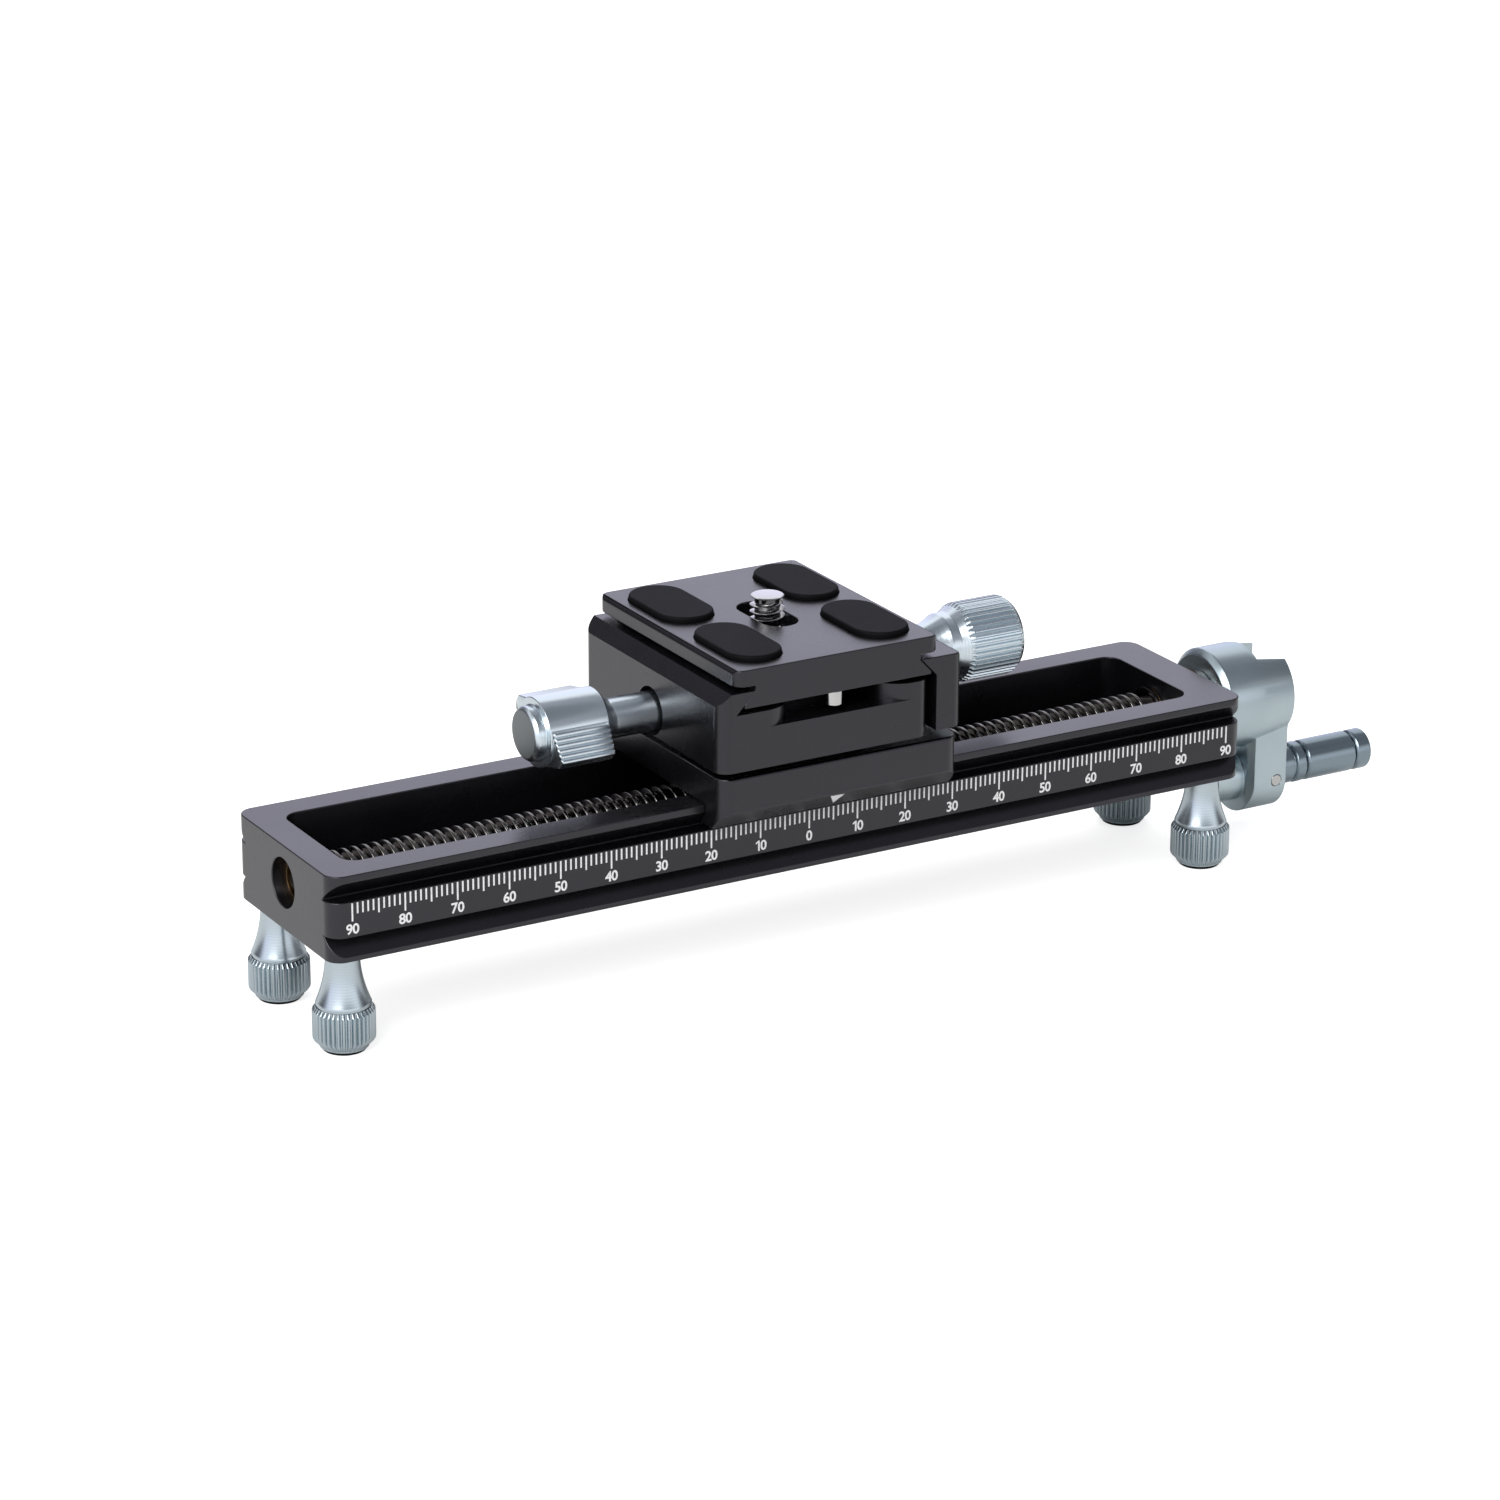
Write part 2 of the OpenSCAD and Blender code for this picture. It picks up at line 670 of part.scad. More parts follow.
// Knuckle on the pin, ringed neck and the spindle that the sleeve turns on
module grip_stem() {
    neck_x = hub_end + slide_gap;
    ring_x = sleeve_x - grip_ring_l;
    groove_x = ring_x - grip_groove_l;
    color(grey_anodised) difference() {
        union() {
            intersection() {
                y_rod(fold_x, -knuckle_w / 2, grip_z, knuckle_r, knuckle_w);
                translate([fold_x, 0, grip_z]) sphere(r = knuckle_w / 2);
            }
            x_rod(fold_x, grip_z, knuckle_r, neck_x - fold_x);
            translate([0, 0, grip_z]) along_x(0) rotate_extrude() polygon([[0, neck_x],
                [knuckle_r, neck_x], [grip_r - slide_gap, neck_x + grip_edge],
                [grip_r - slide_gap, groove_x], [grip_neck_r, groove_x], [grip_neck_r, ring_x],
                [grip_r - grip_edge, ring_x], [grip_r, ring_x + grip_edge],
                [grip_r, sleeve_x - grip_edge], [grip_r - grip_edge, sleeve_x],
                [spindle_r, sleeve_x], [spindle_r, cap_x - slide_gap], [0, cap_x - slide_gap]]);
        }
        y_rod(fold_x, -knuckle_w, grip_z, fold_pin_r + running, 2 * knuckle_w);
        x_rod(cap_x - cap_stem_l, grip_z, spindle_bore_r + seat, cap_stem_l + over);
        for (a = [180, 90]) translate([fold_x, 0, grip_z]) rotate([0, -a, 0])
            translate([knuckle_r + detent_ball_r - dimple_d, 0, 0]) sphere(r = detent_ball_r);
    }
}

module grip_sleeve() {
    x = sleeve_x + slide_gap;
    color(grey_anodised) translate([0, 0, grip_z]) along_x(x) rotate_extrude()
        polygon([[spindle_r + running, 0], [grip_r - grip_edge, 0], [grip_r, grip_edge],
            [grip_r, grip_sleeve_l - grip_edge], [grip_r - grip_edge, grip_sleeve_l],
            [spindle_r + running, grip_sleeve_l]]);
}

module grip_cap() {
    color(grey_anodised) translate([0, 0, grip_z]) along_x(0) rotate_extrude()
        polygon(concat([[0, cap_x + slide_gap - cap_stem_l], [spindle_bore_r, cap_x + slide_gap - cap_stem_l],
            [spindle_bore_r, cap_x], [grip_r - grip_edge, cap_x], [grip_r, cap_x + grip_edge]],
            arc(grip_r - grip_edge, grip_end - grip_edge, grip_edge, 0, 90, 4), [[0, grip_end]]));
}

// Outline of the carriage across the rail: a slab with two skirts that hook under the lips
module carriage_outline() {
    w = block_w / 2;
    side = concat(inner_side, [[w - skirt_chamfer, block_foot], [w, block_foot + skirt_chamfer],
        [w, block_top - top_edge], [w - top_edge, block_top]]);
    polygon(concat(side, [for (i = [len(side) - 1:-1:0]) [-side[i][0], side[i][1]]]));
}

module carriage_block() {
    color(black_anodised) difference() {
        intersection() {
            at_x(carriage_x - carriage_l / 2) linear_extrude(carriage_l) carriage_outline();
            translate([carriage_x, 0, 0])
                linear_extrude(block_top) round_rect(carriage_l, block_w, carriage_corner_r);
        }
        at_x(carriage_x - gib_l / 2) linear_extrude(gib_l) polygon([[hook_y, block_foot - over],
            [gib_y, block_foot - over], [gib_y, gib_top], [inner_y, gib_top],
            [inner_y, rail_h + slide_gap], [hook_y, rail_h + slide_gap]]);
        for (i = [-1:1])
            y_rod(carriage_x + i * gib_screw_pitch, inner_y, gib_z, gib_screw_r + seat, block_w / 2);
        translate([carriage_x, 0, rail_h]) {
            cylinder(r = post_screw_r + seat, h = carriage_t + over);
            cylinder(r = post_screw_head_r + seat, h = post_screw_head_h + 2 * slide_gap);
        }
        translate([carriage_x, 0, post_foot]) cylinder(r = post_r + seat, h = post_seat + over);
        for (x = [-1, 1]) for (y = [-1, 1])
            translate([carriage_x + x * nut_screw_x, y * nut_screw_y, rail_h]) {
                cylinder(r = nut_screw_r + seat, h = carriage_t + over);
                translate([0, 0, carriage_t - nut_screw_head_h])
                    cylinder(r = nut_screw_head_r + seat, h = nut_screw_head_h + over);
            }
    }
}

// Brass strip in the carriage's back that takes up the play against the rail's slope
module gib_strip() {
    l = gib_l - 2 * slide_gap;
    color(bronze) at_x(carriage_x - l / 2) linear_extrude(l) polygon(concat(
        [[gib_y - seat, block_foot], [gib_y - seat, gib_top - slide_gap],
            [inner_y, gib_top - slide_gap]], inner_side));
}

module gib_screws() {
    color(bright_steel) for (i = [-1:1])
        y_rod(carriage_x + i * gib_screw_pitch, gib_y, gib_z, gib_screw_r, block_w / 2 - top_edge - gib_y);
}

// Threaded block under the carriage that the lead screw drives
module drive_nut() {
    color(bronze) difference() {
        translate([carriage_x - nut_l / 2, -nut_w / 2, nut_foot])
            cube([nut_l, nut_w, rail_h + slide_gap - nut_foot]);
        x_rod(carriage_x - nut_l, screw_z, screw_r + running, 2 * nut_l);
        for (x = [-1, 1]) for (y = [-1, 1])
            translate([carriage_x + x * nut_screw_x, y * nut_screw_y, block_top - nut_screw_l - slide_gap])
                cylinder(r = nut_screw_r + seat, h = nut_screw_l);
    }
}

module nut_screws() {
    color(bright_steel) for (x = [-1, 1]) for (y = [-1, 1])
        translate([carriage_x + x * nut_screw_x, y * nut_screw_y, block_top - nut_screw_l]) {
            cylinder(r = nut_screw_r, h = nut_screw_l);
            translate([0, 0, nut_screw_shank]) cylinder(r = nut_screw_head_r, h = nut_screw_head_h);
        }
}

// Round post on the carriage that the clamp turns on, with a waist for the lock's shoe
module pan_post() {
    low = lock_axis_z - post_foot - post_waist_h / 2;
    deep = post_r - post_waist_d;
    color(bright_steel) translate([carriage_x, 0, post_foot]) difference() {
        rotate_extrude() polygon([[0, 0], [post_r, 0], [post_r, low], [deep, low + post_waist_d],
            [deep, low + post_waist_h - post_waist_d], [post_r, low + post_waist_h],
            [post_r, post_h], [0, post_h]]);
        translate([0, 0, -over]) cylinder(r = post_screw_r + seat, h = post_screw_l + over);
    }
}

// Screw from under the carriage into the post, its head covered by the drive nut
module post_screw() {
    color(bright_steel) translate([carriage_x, 0, rail_h + 2 * slide_gap]) {
        cylinder(r = post_screw_head_r, h = post_screw_head_h);
        cylinder(r = post_screw_r, h = post_screw_l);
    }
}

module slip_ring() {
    color(white_plastic) translate([carriage_x, 0, block_top]) difference() {
        cylinder(r = slip_ring_r, h = pan_gap - slide_gap);
        translate([0, 0, -over]) cylinder(r = post_r + slide_gap, h = pan_gap + 2 * over);
    }
}

// Outline of the clamp across its dovetail: the fixed nose stands at the left
module clamp_outline() {
    polygon([[clamp_x0, clamp_z], [clamp_x1 - clamp_edge, clamp_z], [clamp_x1, clamp_z + clamp_edge],
        [clamp_x1, clamp_floor], [nose_x - nose_run, clamp_floor], [nose_x, clamp_top],
        [clamp_x0 + clamp_chamfer, clamp_top], [clamp_x0, clamp_top - clamp_chamfer]]);
}

// Plan of one stop channel: a blind slot that opens at the front in two round corners
module channel_plan() {
    w = channel_w / 2;
    r = channel_mouth_r;
    translate([-w, -block_w / 2 - over]) square([channel_w, channel_l + over]);
    difference() {
        translate([-w - r, -block_w / 2 - over]) square([channel_w + 2 * r, r + over]);
        for (s = [-1, 1]) translate([s * (w + r), r - block_w / 2]) circle(r = r);
    }
}

module clamp_body() {
    plan_x = (clamp_x0 + clamp_x1) / 2;
    color(black_anodised) difference() {
        intersection() {
            translate([0, block_w / 2, 0]) rotate([90, 0, 0]) linear_extrude(block_w) clamp_outline();
            translate([plan_x, 0, clamp_z])
                linear_extrude(clamp_h) round_rect(clamp_left + clamp_right, block_w, clamp_corner_r);
        }
        for (a = [0, 1]) mirror([0, a, 0]) translate([channel_x, 0, clamp_floor - channel_d])
            linear_extrude(channel_d + over) channel_plan();
        translate([carriage_x, 0, clamp_z - over]) cylinder(r = post_r + running, h = post_bore_h + over);
        x_rod(clamp_x0 - over, lock_axis_z, lock_stud_r + running, clamp_left - post_r + 2 * over);
        x_rod(clamp_x0 - over, lock_axis_z, lock_counterbore_r, lock_counterbore_l + over);
        x_rod(jaw_x - jaw_stud_in - jaw_gap, jaw_axis_z, jaw_stud_r + running, jaw_stud_in + jaw_gap + over);
        for (s = [-1, 1]) {
            x_rod(clamp_x1 - guide_pin_in, guide_pin_z, guide_pin_r + seat,
                guide_pin_in + over, s * guide_pin_y);
            x_rod(clamp_x1 - jaw_spring_in, guide_pin_z, spring_bore_r,
                jaw_spring_in + over, s * guide_pin_y);
        }
    }
}

module jaw_guide_pins() {
    color(bright_steel) for (s = [-1, 1])
        x_rod(clamp_x1 - guide_pin_in, guide_pin_z, guide_pin_r,
            guide_pin_in + jaw_gap + guide_pin_out, s * guide_pin_y);
}

// Springs round the guide pins that push the jaw open
module jaw_springs() {
    x = clamp_x1 - jaw_spring_in;
    color(bright_steel) for (s = [-1, 1]) translate([x, s * guide_pin_y, guide_pin_z]) rotate([0, 90, 0])
        coil(jaw_spring_r, jaw_spring_wire_r, jaw_spring_in + jaw_gap - slide_gap, jaw_spring_coils);
}

// Shoe with a cone tip that wedges in the post's waist
module lock_shoe() {
    cone = post_waist_d;
    color(bronze) translate([0, 0, lock_axis_z]) along_x(shoe_x) rotate_extrude() polygon([[0, 0],
        [lock_stud_r, 0], [lock_stud_r, lock_shoe_l - cone - 2 * slide_gap],
        [lock_tip_r + cone - slide_gap, lock_shoe_l - cone - slide_gap],
        [lock_tip_r - slide_gap, lock_shoe_l], [0, lock_shoe_l]]);
}

module lock_stud() {
    x = lock_x - lock_knob_l / 2;
    color(bright_steel) x_rod(x, lock_axis_z, lock_stud_r, shoe_x - slide_gap - x);
}

// One grip wing of the lock knob: a face of round ridges that leaves the barrel, and a smooth back
module lock_wing() {
    first = (lock_knob_r + lock_ridge_rise) * [cos(wing_angles[1]), sin(wing_angles[1])];
    last = (lock_wing_r - lock_ridge_r) * [cos(wing_angles[2]), sin(wing_angles[2])];
    back = (lock_wing_r - lock_ridge_r) * [cos(wing_angles[3]), sin(wing_angles[3])];
    root = lock_knob_r - slide_gap;
    intersection() {
        union() {
            rotate([90, 0, 90]) linear_extrude(lock_wing_l) polygon([[0, 0],
                root * [cos(wing_angles[0]), sin(wing_angles[0])], first, last, back,
                root * [cos(wing_angles[4]), sin(wing_angles[4])]]);
            for (i = [0:lock_ridges - 1]) let (p = first + (last - first) * i / (lock_ridges - 1))
                x_rod(0, p[1], lock_ridge_r, lock_wing_l, p[0]);
        }
        along_x(0) rotate_extrude() polygon([[0, 0], [lock_knob_r, 0],
            [lock_wing_r + over, lock_wing_slant], [lock_wing_r + over, lock_wing_l], [0, lock_wing_l]]);
    }
}

// Neck, smooth barrel, two ridged wings and a stepped boss
module lock_knob() {
    neck_x = clamp_x0 + lock_neck_in;
    foot = lock_x - neck_x;
    color(grey_anodised) difference() {
        union() {
            translate([neck_x, 0, lock_axis_z]) rotate([0, -90, 0]) rotate_extrude() polygon(concat(
                [[0, 0], [lock_neck_r, 0]],
                arc(lock_neck_r + lock_flare_r, -foot - lock_flare_r, lock_flare_r, 180, 90, 5),
                [[lock_knob_r - lock_edge, -foot], [lock_knob_r, lock_edge - foot],
                    [lock_knob_r, lock_knob_l - foot], [lock_boss_r, lock_knob_l - foot],
                    [lock_boss_r, lock_knob_l + lock_boss_l - lock_edge - foot],
                    [lock_boss_r - lock_edge, lock_knob_l + lock_boss_l - foot],
                    [0, lock_knob_l + lock_boss_l - foot]]));
            for (s = [0, 180])
                translate([lock_x - lock_knob_l + slide_gap, 0, lock_axis_z]) rotate([s, 0, 0]) lock_wing();
        }
        x_rod(lock_x - lock_knob_l / 2 - slide_gap, lock_axis_z, lock_stud_r + seat,
            lock_knob_l + lock_neck_l);
    }
}

// Moving jaw: its nose reaches over the plate's dovetail
module clamp_jaw() {
    x1 = jaw_x + jaw_t;
    nose_foot = clamp_top - jaw_nose * dovetail_h / nose_run;
    color(black_anodised) difference() {
        intersection() {
            translate([0, block_w / 2, 0]) rotate([90, 0, 0]) linear_extrude(block_w)
                polygon([[jaw_x, jaw_z], [x1 - jaw_edge, jaw_z], [x1, jaw_z + jaw_edge],
                    [x1, clamp_top - jaw_edge], [x1 - jaw_edge, clamp_top], [jaw_x - jaw_nose, clamp_top],
                    [jaw_x, nose_foot]]);
            translate([jaw_x - jaw_nose, 0, jaw_z]) linear_extrude(clamp_top - jaw_z)
                jaw_plan();
        }
        x_rod(jaw_x - jaw_nose, jaw_axis_z, jaw_stud_r + running, jaw_nose + jaw_t + over);
        for (s = [-1, 1]) x_rod(jaw_x - over, guide_pin_z, guide_pin_r + running,
            guide_pin_out + 2 * slide_gap + over, s * guide_pin_y);
    }
}

// Plan of the jaw, square towards the plate and round at its two outer corners
module jaw_plan() {
    l = jaw_nose + jaw_t;
    r = plate_corner_r;
    translate([0, -block_w / 2]) square([l - r, block_w]);
    translate([0, r - block_w / 2]) square([l, block_w - 2 * r]);
    for (s = [-1, 1]) translate([l - r, s * (block_w / 2 - r)]) circle(r = r);
}

module jaw_stud() {
    color(bright_steel) x_rod(jaw_x - jaw_stud_in, jaw_axis_z, jaw_stud_r,
        jaw_stud_in + jaw_t + jaw_flare_l);
}

// Flared neck, cone, straight knurl and a stepped end
module jaw_knob() {
    flare_end = jaw_flare_l;
    rim_end = flare_end + jaw_rim_l;
    knurl_x = rim_end + jaw_cone_l;
    root = jaw_knob_r - jaw_knurl_d;
    knurl_end = knurl_x + jaw_knurl_l;
    color(grey_anodised) difference() {
        union() {
            translate([0, 0, jaw_axis_z]) along_x(jaw_knob_x) rotate_extrude() polygon(concat([[0, 0]],
                flare(jaw_neck_r, 0, jaw_rim_r, flare_end), [[jaw_rim_r, rim_end], [root, knurl_x],
                    [root, knurl_end], [jaw_knob_r - jaw_tip_d, knurl_end + jaw_tip_l],
                    [0, knurl_end + jaw_tip_l]]));
            translate([0, 0, jaw_axis_z]) at_x(jaw_knob_x + knurl_x) linear_extrude(jaw_knurl_l)
                polygon(knurl(jaw_knob_r, jaw_knurl_d, jaw_knurls));
        }
        x_rod(jaw_knob_x - over, jaw_axis_z, jaw_stud_r + seat, over + jaw_flare_l);
    }
}

// Outline of the plate across its dovetail
module plate_outline() {
    w = plate_w / 2;
    n = (plate_neck_x1 - plate_neck_x0) / 2;
    slope = plate_reach * dovetail_h / nose_run;
    side = [[n + plate_reach, plate_foot], [n + plate_reach, clamp_top - slope], [n, clamp_top],
        [n, flange_z], [w, flange_z], [w, plate_top - plate_edge], [w - plate_edge, plate_top]];
    polygon(concat(side, [for (i = [len(side) - 1:-1:0]) [-side[i][0], side[i][1]]]));
}

module pad_places() {
    for (x = [-1, 1]) for (y = [-1, 1])
        translate([plate_x + x * pad_pitch_x / 2, y * pad_pitch_y / 2, plate_top - pad_in]) children();
}

module release_plate() {
    color(black_anodised) difference() {
        intersection() {
            translate([plate_x, block_w / 2, 0]) rotate([90, 0, 0]) linear_extrude(block_w) plate_outline();
            translate([plate_x, 0, plate_foot]) linear_extrude(plate_top - plate_foot)
                round_rect(plate_w, block_w, plate_corner_r);
        }
        translate([plate_x, 0, plate_foot - over]) {
            linear_extrude(plate_top) obround(camera_slot_w, camera_slot_l);
            linear_extrude(keyway_h + over) obround(keyway_w, keyway_l);
        }
        pad_places() linear_extrude(pad_in + over) obround(pad_w, pad_l);
        for (s = [-1, 1]) translate([plate_x, s * stop_y, plate_foot - over])
            cylinder(r = stop_thread_r + seat, h = stop_thread_l + over + slide_gap);
    }
}

module plate_pads() {
    color(black_rubber) pad_places() linear_extrude(pad_in + pad_out)
        obround(pad_w - 2 * seat, pad_l - 2 * seat);
}

// Screws under the plate's ends that stop it in the clamp's channels
module stop_screws() {
    color(bright_steel) for (s = [-1, 1]) translate([plate_x, s * stop_y, plate_foot - stop_out]) {
        cylinder(r = stop_r, h = stop_out);
        cylinder(r = stop_thread_r, h = stop_out + stop_thread_l);
    }
}

// Clip that slides in the plate's keyway and keeps the camera screw in
module camera_clip() {
    color(bright_steel) translate([plate_x, 0, clip_z]) linear_extrude(clip_t) difference() {
        obround(2 * clip_r, clip_l);
        circle(r = camera_neck_r + running);
    }
}

// Camera screw: slotted head under the clip, a waist in the slot and the quarter inch thread
module camera_screw() {
    head_z = clip_z - slide_gap - camera_head_h;
    tip = plate_top + camera_screw_out;
    color(bright_steel) difference() {
        translate([plate_x, 0, 0]) rotate_extrude() polygon([[0, head_z], [camera_head_r, head_z],
            [camera_head_r, head_z + camera_head_h], [camera_neck_r, head_z + camera_head_h],
            [camera_neck_r, plate_top], [camera_screw_r, plate_top + camera_chamfer],
            [camera_screw_r, tip - camera_chamfer], [camera_screw_r - camera_chamfer, tip], [0, tip]]);
        translate([plate_x - camera_head_r - over, -clip_t, head_z - over])
            cube([2 * (camera_head_r + over), 2 * clip_t, over + camera_head_h / 2]);
    }
}

// Flared thumb foot with a knurled skirt and a stud into the rail
module foot(x, y) {
    foot_z = sole_out - foot_h;
    knurl_top = foot_z + foot_knurl_h;
    low = foot_r - foot_edge;
    root = foot_r - foot_knurl_d;
    top_down = [for (p = flare(foot_neck_r, 0, root, -knurl_top - slide_gap)) [p[0], -p[1] - slide_gap]];
    color(grey_anodised) translate([x * foot_x, y * foot_y, 0]) difference() {
        union() {
            cylinder(r = foot_stud_r, h = foot_stud_l);
            rotate_extrude() polygon(concat([[0, foot_stud_r], [foot_stud_r, foot_stud_r],
                [foot_stud_r, -slide_gap]], top_down,
                [[root, foot_z + foot_edge], [low, foot_z], [0, foot_z]]));
            intersection() {
                translate([0, 0, foot_z]) linear_extrude(foot_knurl_h)
                    polygon(knurl(foot_r, foot_knurl_d, foot_knurls));
                translate([0, 0, foot_z]) cylinder(r1 = low, r2 = low + foot_knurl_h, h = foot_knurl_h);
            }
        }
        translate([0, 0, foot_z - over]) cylinder(r = sole_r + seat, h = sole_in + over + seat);
    }
}

module sole(x, y) {
    color(black_rubber) translate([x * foot_x, y * foot_y, -foot_h])
        cylinder(r = sole_r, h = sole_out + sole_in);
}

module foot_front_left() { foot(-1, -1); }
module foot_front_right() { foot(1, -1); }
module foot_back_left() { foot(-1, 1); }
module foot_back_right() { foot(1, 1); }
module sole_front_left() { sole(-1, -1); }
module sole_front_right() { sole(1, -1); }
module sole_back_left() { sole(-1, 1); }
module sole_back_right() { sole(1, 1); }

rail_frame();
left_bush();
right_bush();
thrust_washer();
lead_screw();
crank_arm();
crank_screw();
detent_plug();
detent_spring();
detent_ball();
fold_pin();
grip_stem();
grip_sleeve();
grip_cap();
carriage_block();
drive_nut();
nut_screws();
gib_strip();
gib_screws();
pan_post();
post_screw();
slip_ring();
clamp_body();
jaw_guide_pins();
jaw_springs();
lock_shoe();
lock_stud();
lock_knob();
clamp_jaw();
jaw_stud();
jaw_knob();
release_plate();
plate_pads();
stop_screws();
camera_clip();
camera_screw();
foot_front_left();
foot_front_right();
foot_back_left();
foot_back_right();
sole_front_left();
sole_front_right();
sole_back_left();
sole_back_right();
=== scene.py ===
# Looks of a macro focusing rail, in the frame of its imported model. Lengths are given in
# millimetres and turned to metres by mm. The file follows the rail as it is put together: rail,
# lead screw, crank, carriage, clamp, its knobs, the release plate and the feet.
from math import atan2, cos, hypot, pi, radians, sin

import bmesh
import bpy
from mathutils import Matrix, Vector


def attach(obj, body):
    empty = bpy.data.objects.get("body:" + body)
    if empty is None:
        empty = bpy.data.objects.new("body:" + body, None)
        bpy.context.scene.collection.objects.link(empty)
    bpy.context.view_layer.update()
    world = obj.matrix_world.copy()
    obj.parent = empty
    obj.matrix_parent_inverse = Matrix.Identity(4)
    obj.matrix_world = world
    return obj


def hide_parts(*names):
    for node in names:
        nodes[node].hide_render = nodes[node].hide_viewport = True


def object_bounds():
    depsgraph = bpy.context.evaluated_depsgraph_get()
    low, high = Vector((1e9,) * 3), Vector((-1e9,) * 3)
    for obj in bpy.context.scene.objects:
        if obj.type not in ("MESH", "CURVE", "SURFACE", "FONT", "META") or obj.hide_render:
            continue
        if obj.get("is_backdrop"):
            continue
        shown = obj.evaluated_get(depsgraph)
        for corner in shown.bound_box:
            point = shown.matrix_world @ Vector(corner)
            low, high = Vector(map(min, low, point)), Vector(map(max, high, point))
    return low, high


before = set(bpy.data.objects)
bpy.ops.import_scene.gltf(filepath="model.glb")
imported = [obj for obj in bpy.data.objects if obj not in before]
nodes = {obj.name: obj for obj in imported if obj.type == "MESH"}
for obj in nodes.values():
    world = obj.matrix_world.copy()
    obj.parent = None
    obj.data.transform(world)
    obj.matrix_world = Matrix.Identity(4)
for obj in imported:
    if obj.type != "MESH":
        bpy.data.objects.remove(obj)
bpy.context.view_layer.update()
scene = bpy.context.scene
scene.view_settings.view_transform = "Standard"
mm = 0.001

# ---------------------------------------------------------------------------------------------
# Camera: a long lens to the front left of the rail and 20 degrees above it, level with the photo.

view = bpy.data.cameras.new("long_lens")
view.lens = 124.611
view.sensor_width = 36
view.clip_start = 0.05
view.clip_end = 20
camera = bpy.data.objects.new("long_lens", view)
camera.location = (-0.44256, -0.75801, 0.33718)
camera.rotation_euler = (radians(69.91097), radians(-0.26817), radians(-30.11349))
scene.collection.objects.link(camera)
scene.camera = camera

# ---------------------------------------------------------------------------------------------
# Studio: a white table in a white room. Two soft boxes light it from the front left and from
# above, and the room lights the rest evenly. Smooth faces mirror the table, the bright horizon
# behind it, a dark canopy overhead and two dark screens.


def srgb(code):
    """The linear colour of an sRGB hex value."""
    values = [int(code[i:i + 2], 16) / 255 for i in (1, 3, 5)]
    return [v / 12.92 if v <= 0.04045 else ((v + 0.055) / 1.055) ** 2.4 for v in values] + [1]


def add_node(owner, kind, settings={}, inputs={}):
    """Adds a node to a material or world. Each input takes a value or another node's output."""
    node = owner.node_tree.nodes.new(kind)
    for name, value in settings.items():
        setattr(node, name, value)
    for name, value in inputs.items():
        if isinstance(value, bpy.types.NodeSocket):
            owner.node_tree.links.new(value, node.inputs[name])
        else:
            node.inputs[name].default_value = value
    return node


def new_material(name):
    """An empty material that is built from nodes."""
    material = bpy.data.materials.new(name)
    material.use_nodes = True
    material.node_tree.nodes.clear()
    return material


room = bpy.data.worlds.new("white_room")
scene.world = room
room.use_nodes = True
room.node_tree.nodes.clear()
path = add_node(room, "ShaderNodeLightPath")
seen = add_node(room, "ShaderNodeMath", {"operation": "MAXIMUM"},
                {0: path.outputs["Is Camera Ray"], 1: path.outputs["Is Glossy Ray"]})
seen = add_node(room, "ShaderNodeMath", {"operation": "MAXIMUM"},
                {0: seen.outputs[0], 1: path.outputs["Is Transmission Ray"]})
strength = add_node(room, "ShaderNodeMapRange", {},
                    {"Value": seen.outputs[0], "To Min": 0.45, "To Max": 1})
walls = add_node(room, "ShaderNodeBackground", {},
                 {"Color": srgb("#ffffff"), "Strength": strength.outputs["Result"]})
towards = add_node(room, "ShaderNodeTexCoord").outputs["Generated"]
# The canopy starts low at the front and rises towards the back, with a pale seam across it
canopy_slope = add_node(room, "ShaderNodeVectorMath", {"operation": "DOT_PRODUCT"},
                        {0: towards, 1: (0, -0.35, 1)})
canopy = add_node(room, "ShaderNodeValToRGB", {}, {"Fac": canopy_slope.outputs["Value"]})
canopy.color_ramp.elements[0].position = 0.05
canopy.color_ramp.elements[0].color = srgb("#ebeaff")
canopy.color_ramp.elements[1].position = 0.92
canopy.color_ramp.elements[1].color = srgb("#6a6c72")
for stop, shade in ((0.3, "#e8e9f2"), (0.45, "#f0f1f6"), (0.6, "#ececf0"),
                    (0.7, "#686a70"), (0.85, "#96989f")):
    canopy.color_ramp.elements.new(stop).color = srgb(shade)
# Two dark screens stand at the back left and at the right of the table
left_screen = add_node(room, "ShaderNodeVectorMath", {"operation": "DOT_PRODUCT"},
                       {0: towards, 1: (-0.574, 0.819, 0)})
right_screen = add_node(room, "ShaderNodeVectorMath", {"operation": "DOT_PRODUCT"},
                        {0: towards, 1: (1, 0, 0)})
screens = add_node(room, "ShaderNodeMath", {"operation": "MAXIMUM"},
                   {0: left_screen.outputs["Value"], 1: right_screen.outputs["Value"]})
screens = add_node(room, "ShaderNodeMapRange", {}, {
    "Value": screens.outputs[0], "From Min": 0.6, "From Max": 0.86, "To Min": 1.3, "To Max": 0.1})
mirrored = add_node(room, "ShaderNodeBackground", {},
                    {"Color": canopy.outputs[0], "Strength": screens.outputs["Result"]})
by_ray = add_node(room, "ShaderNodeMixShader", {},
                  {0: path.outputs["Is Glossy Ray"], 1: walls.outputs[0], 2: mirrored.outputs[0]})
add_node(room, "ShaderNodeOutputWorld", {}, {"Surface": by_ray.outputs[0]})
room.cycles.sampling_method = "NONE"

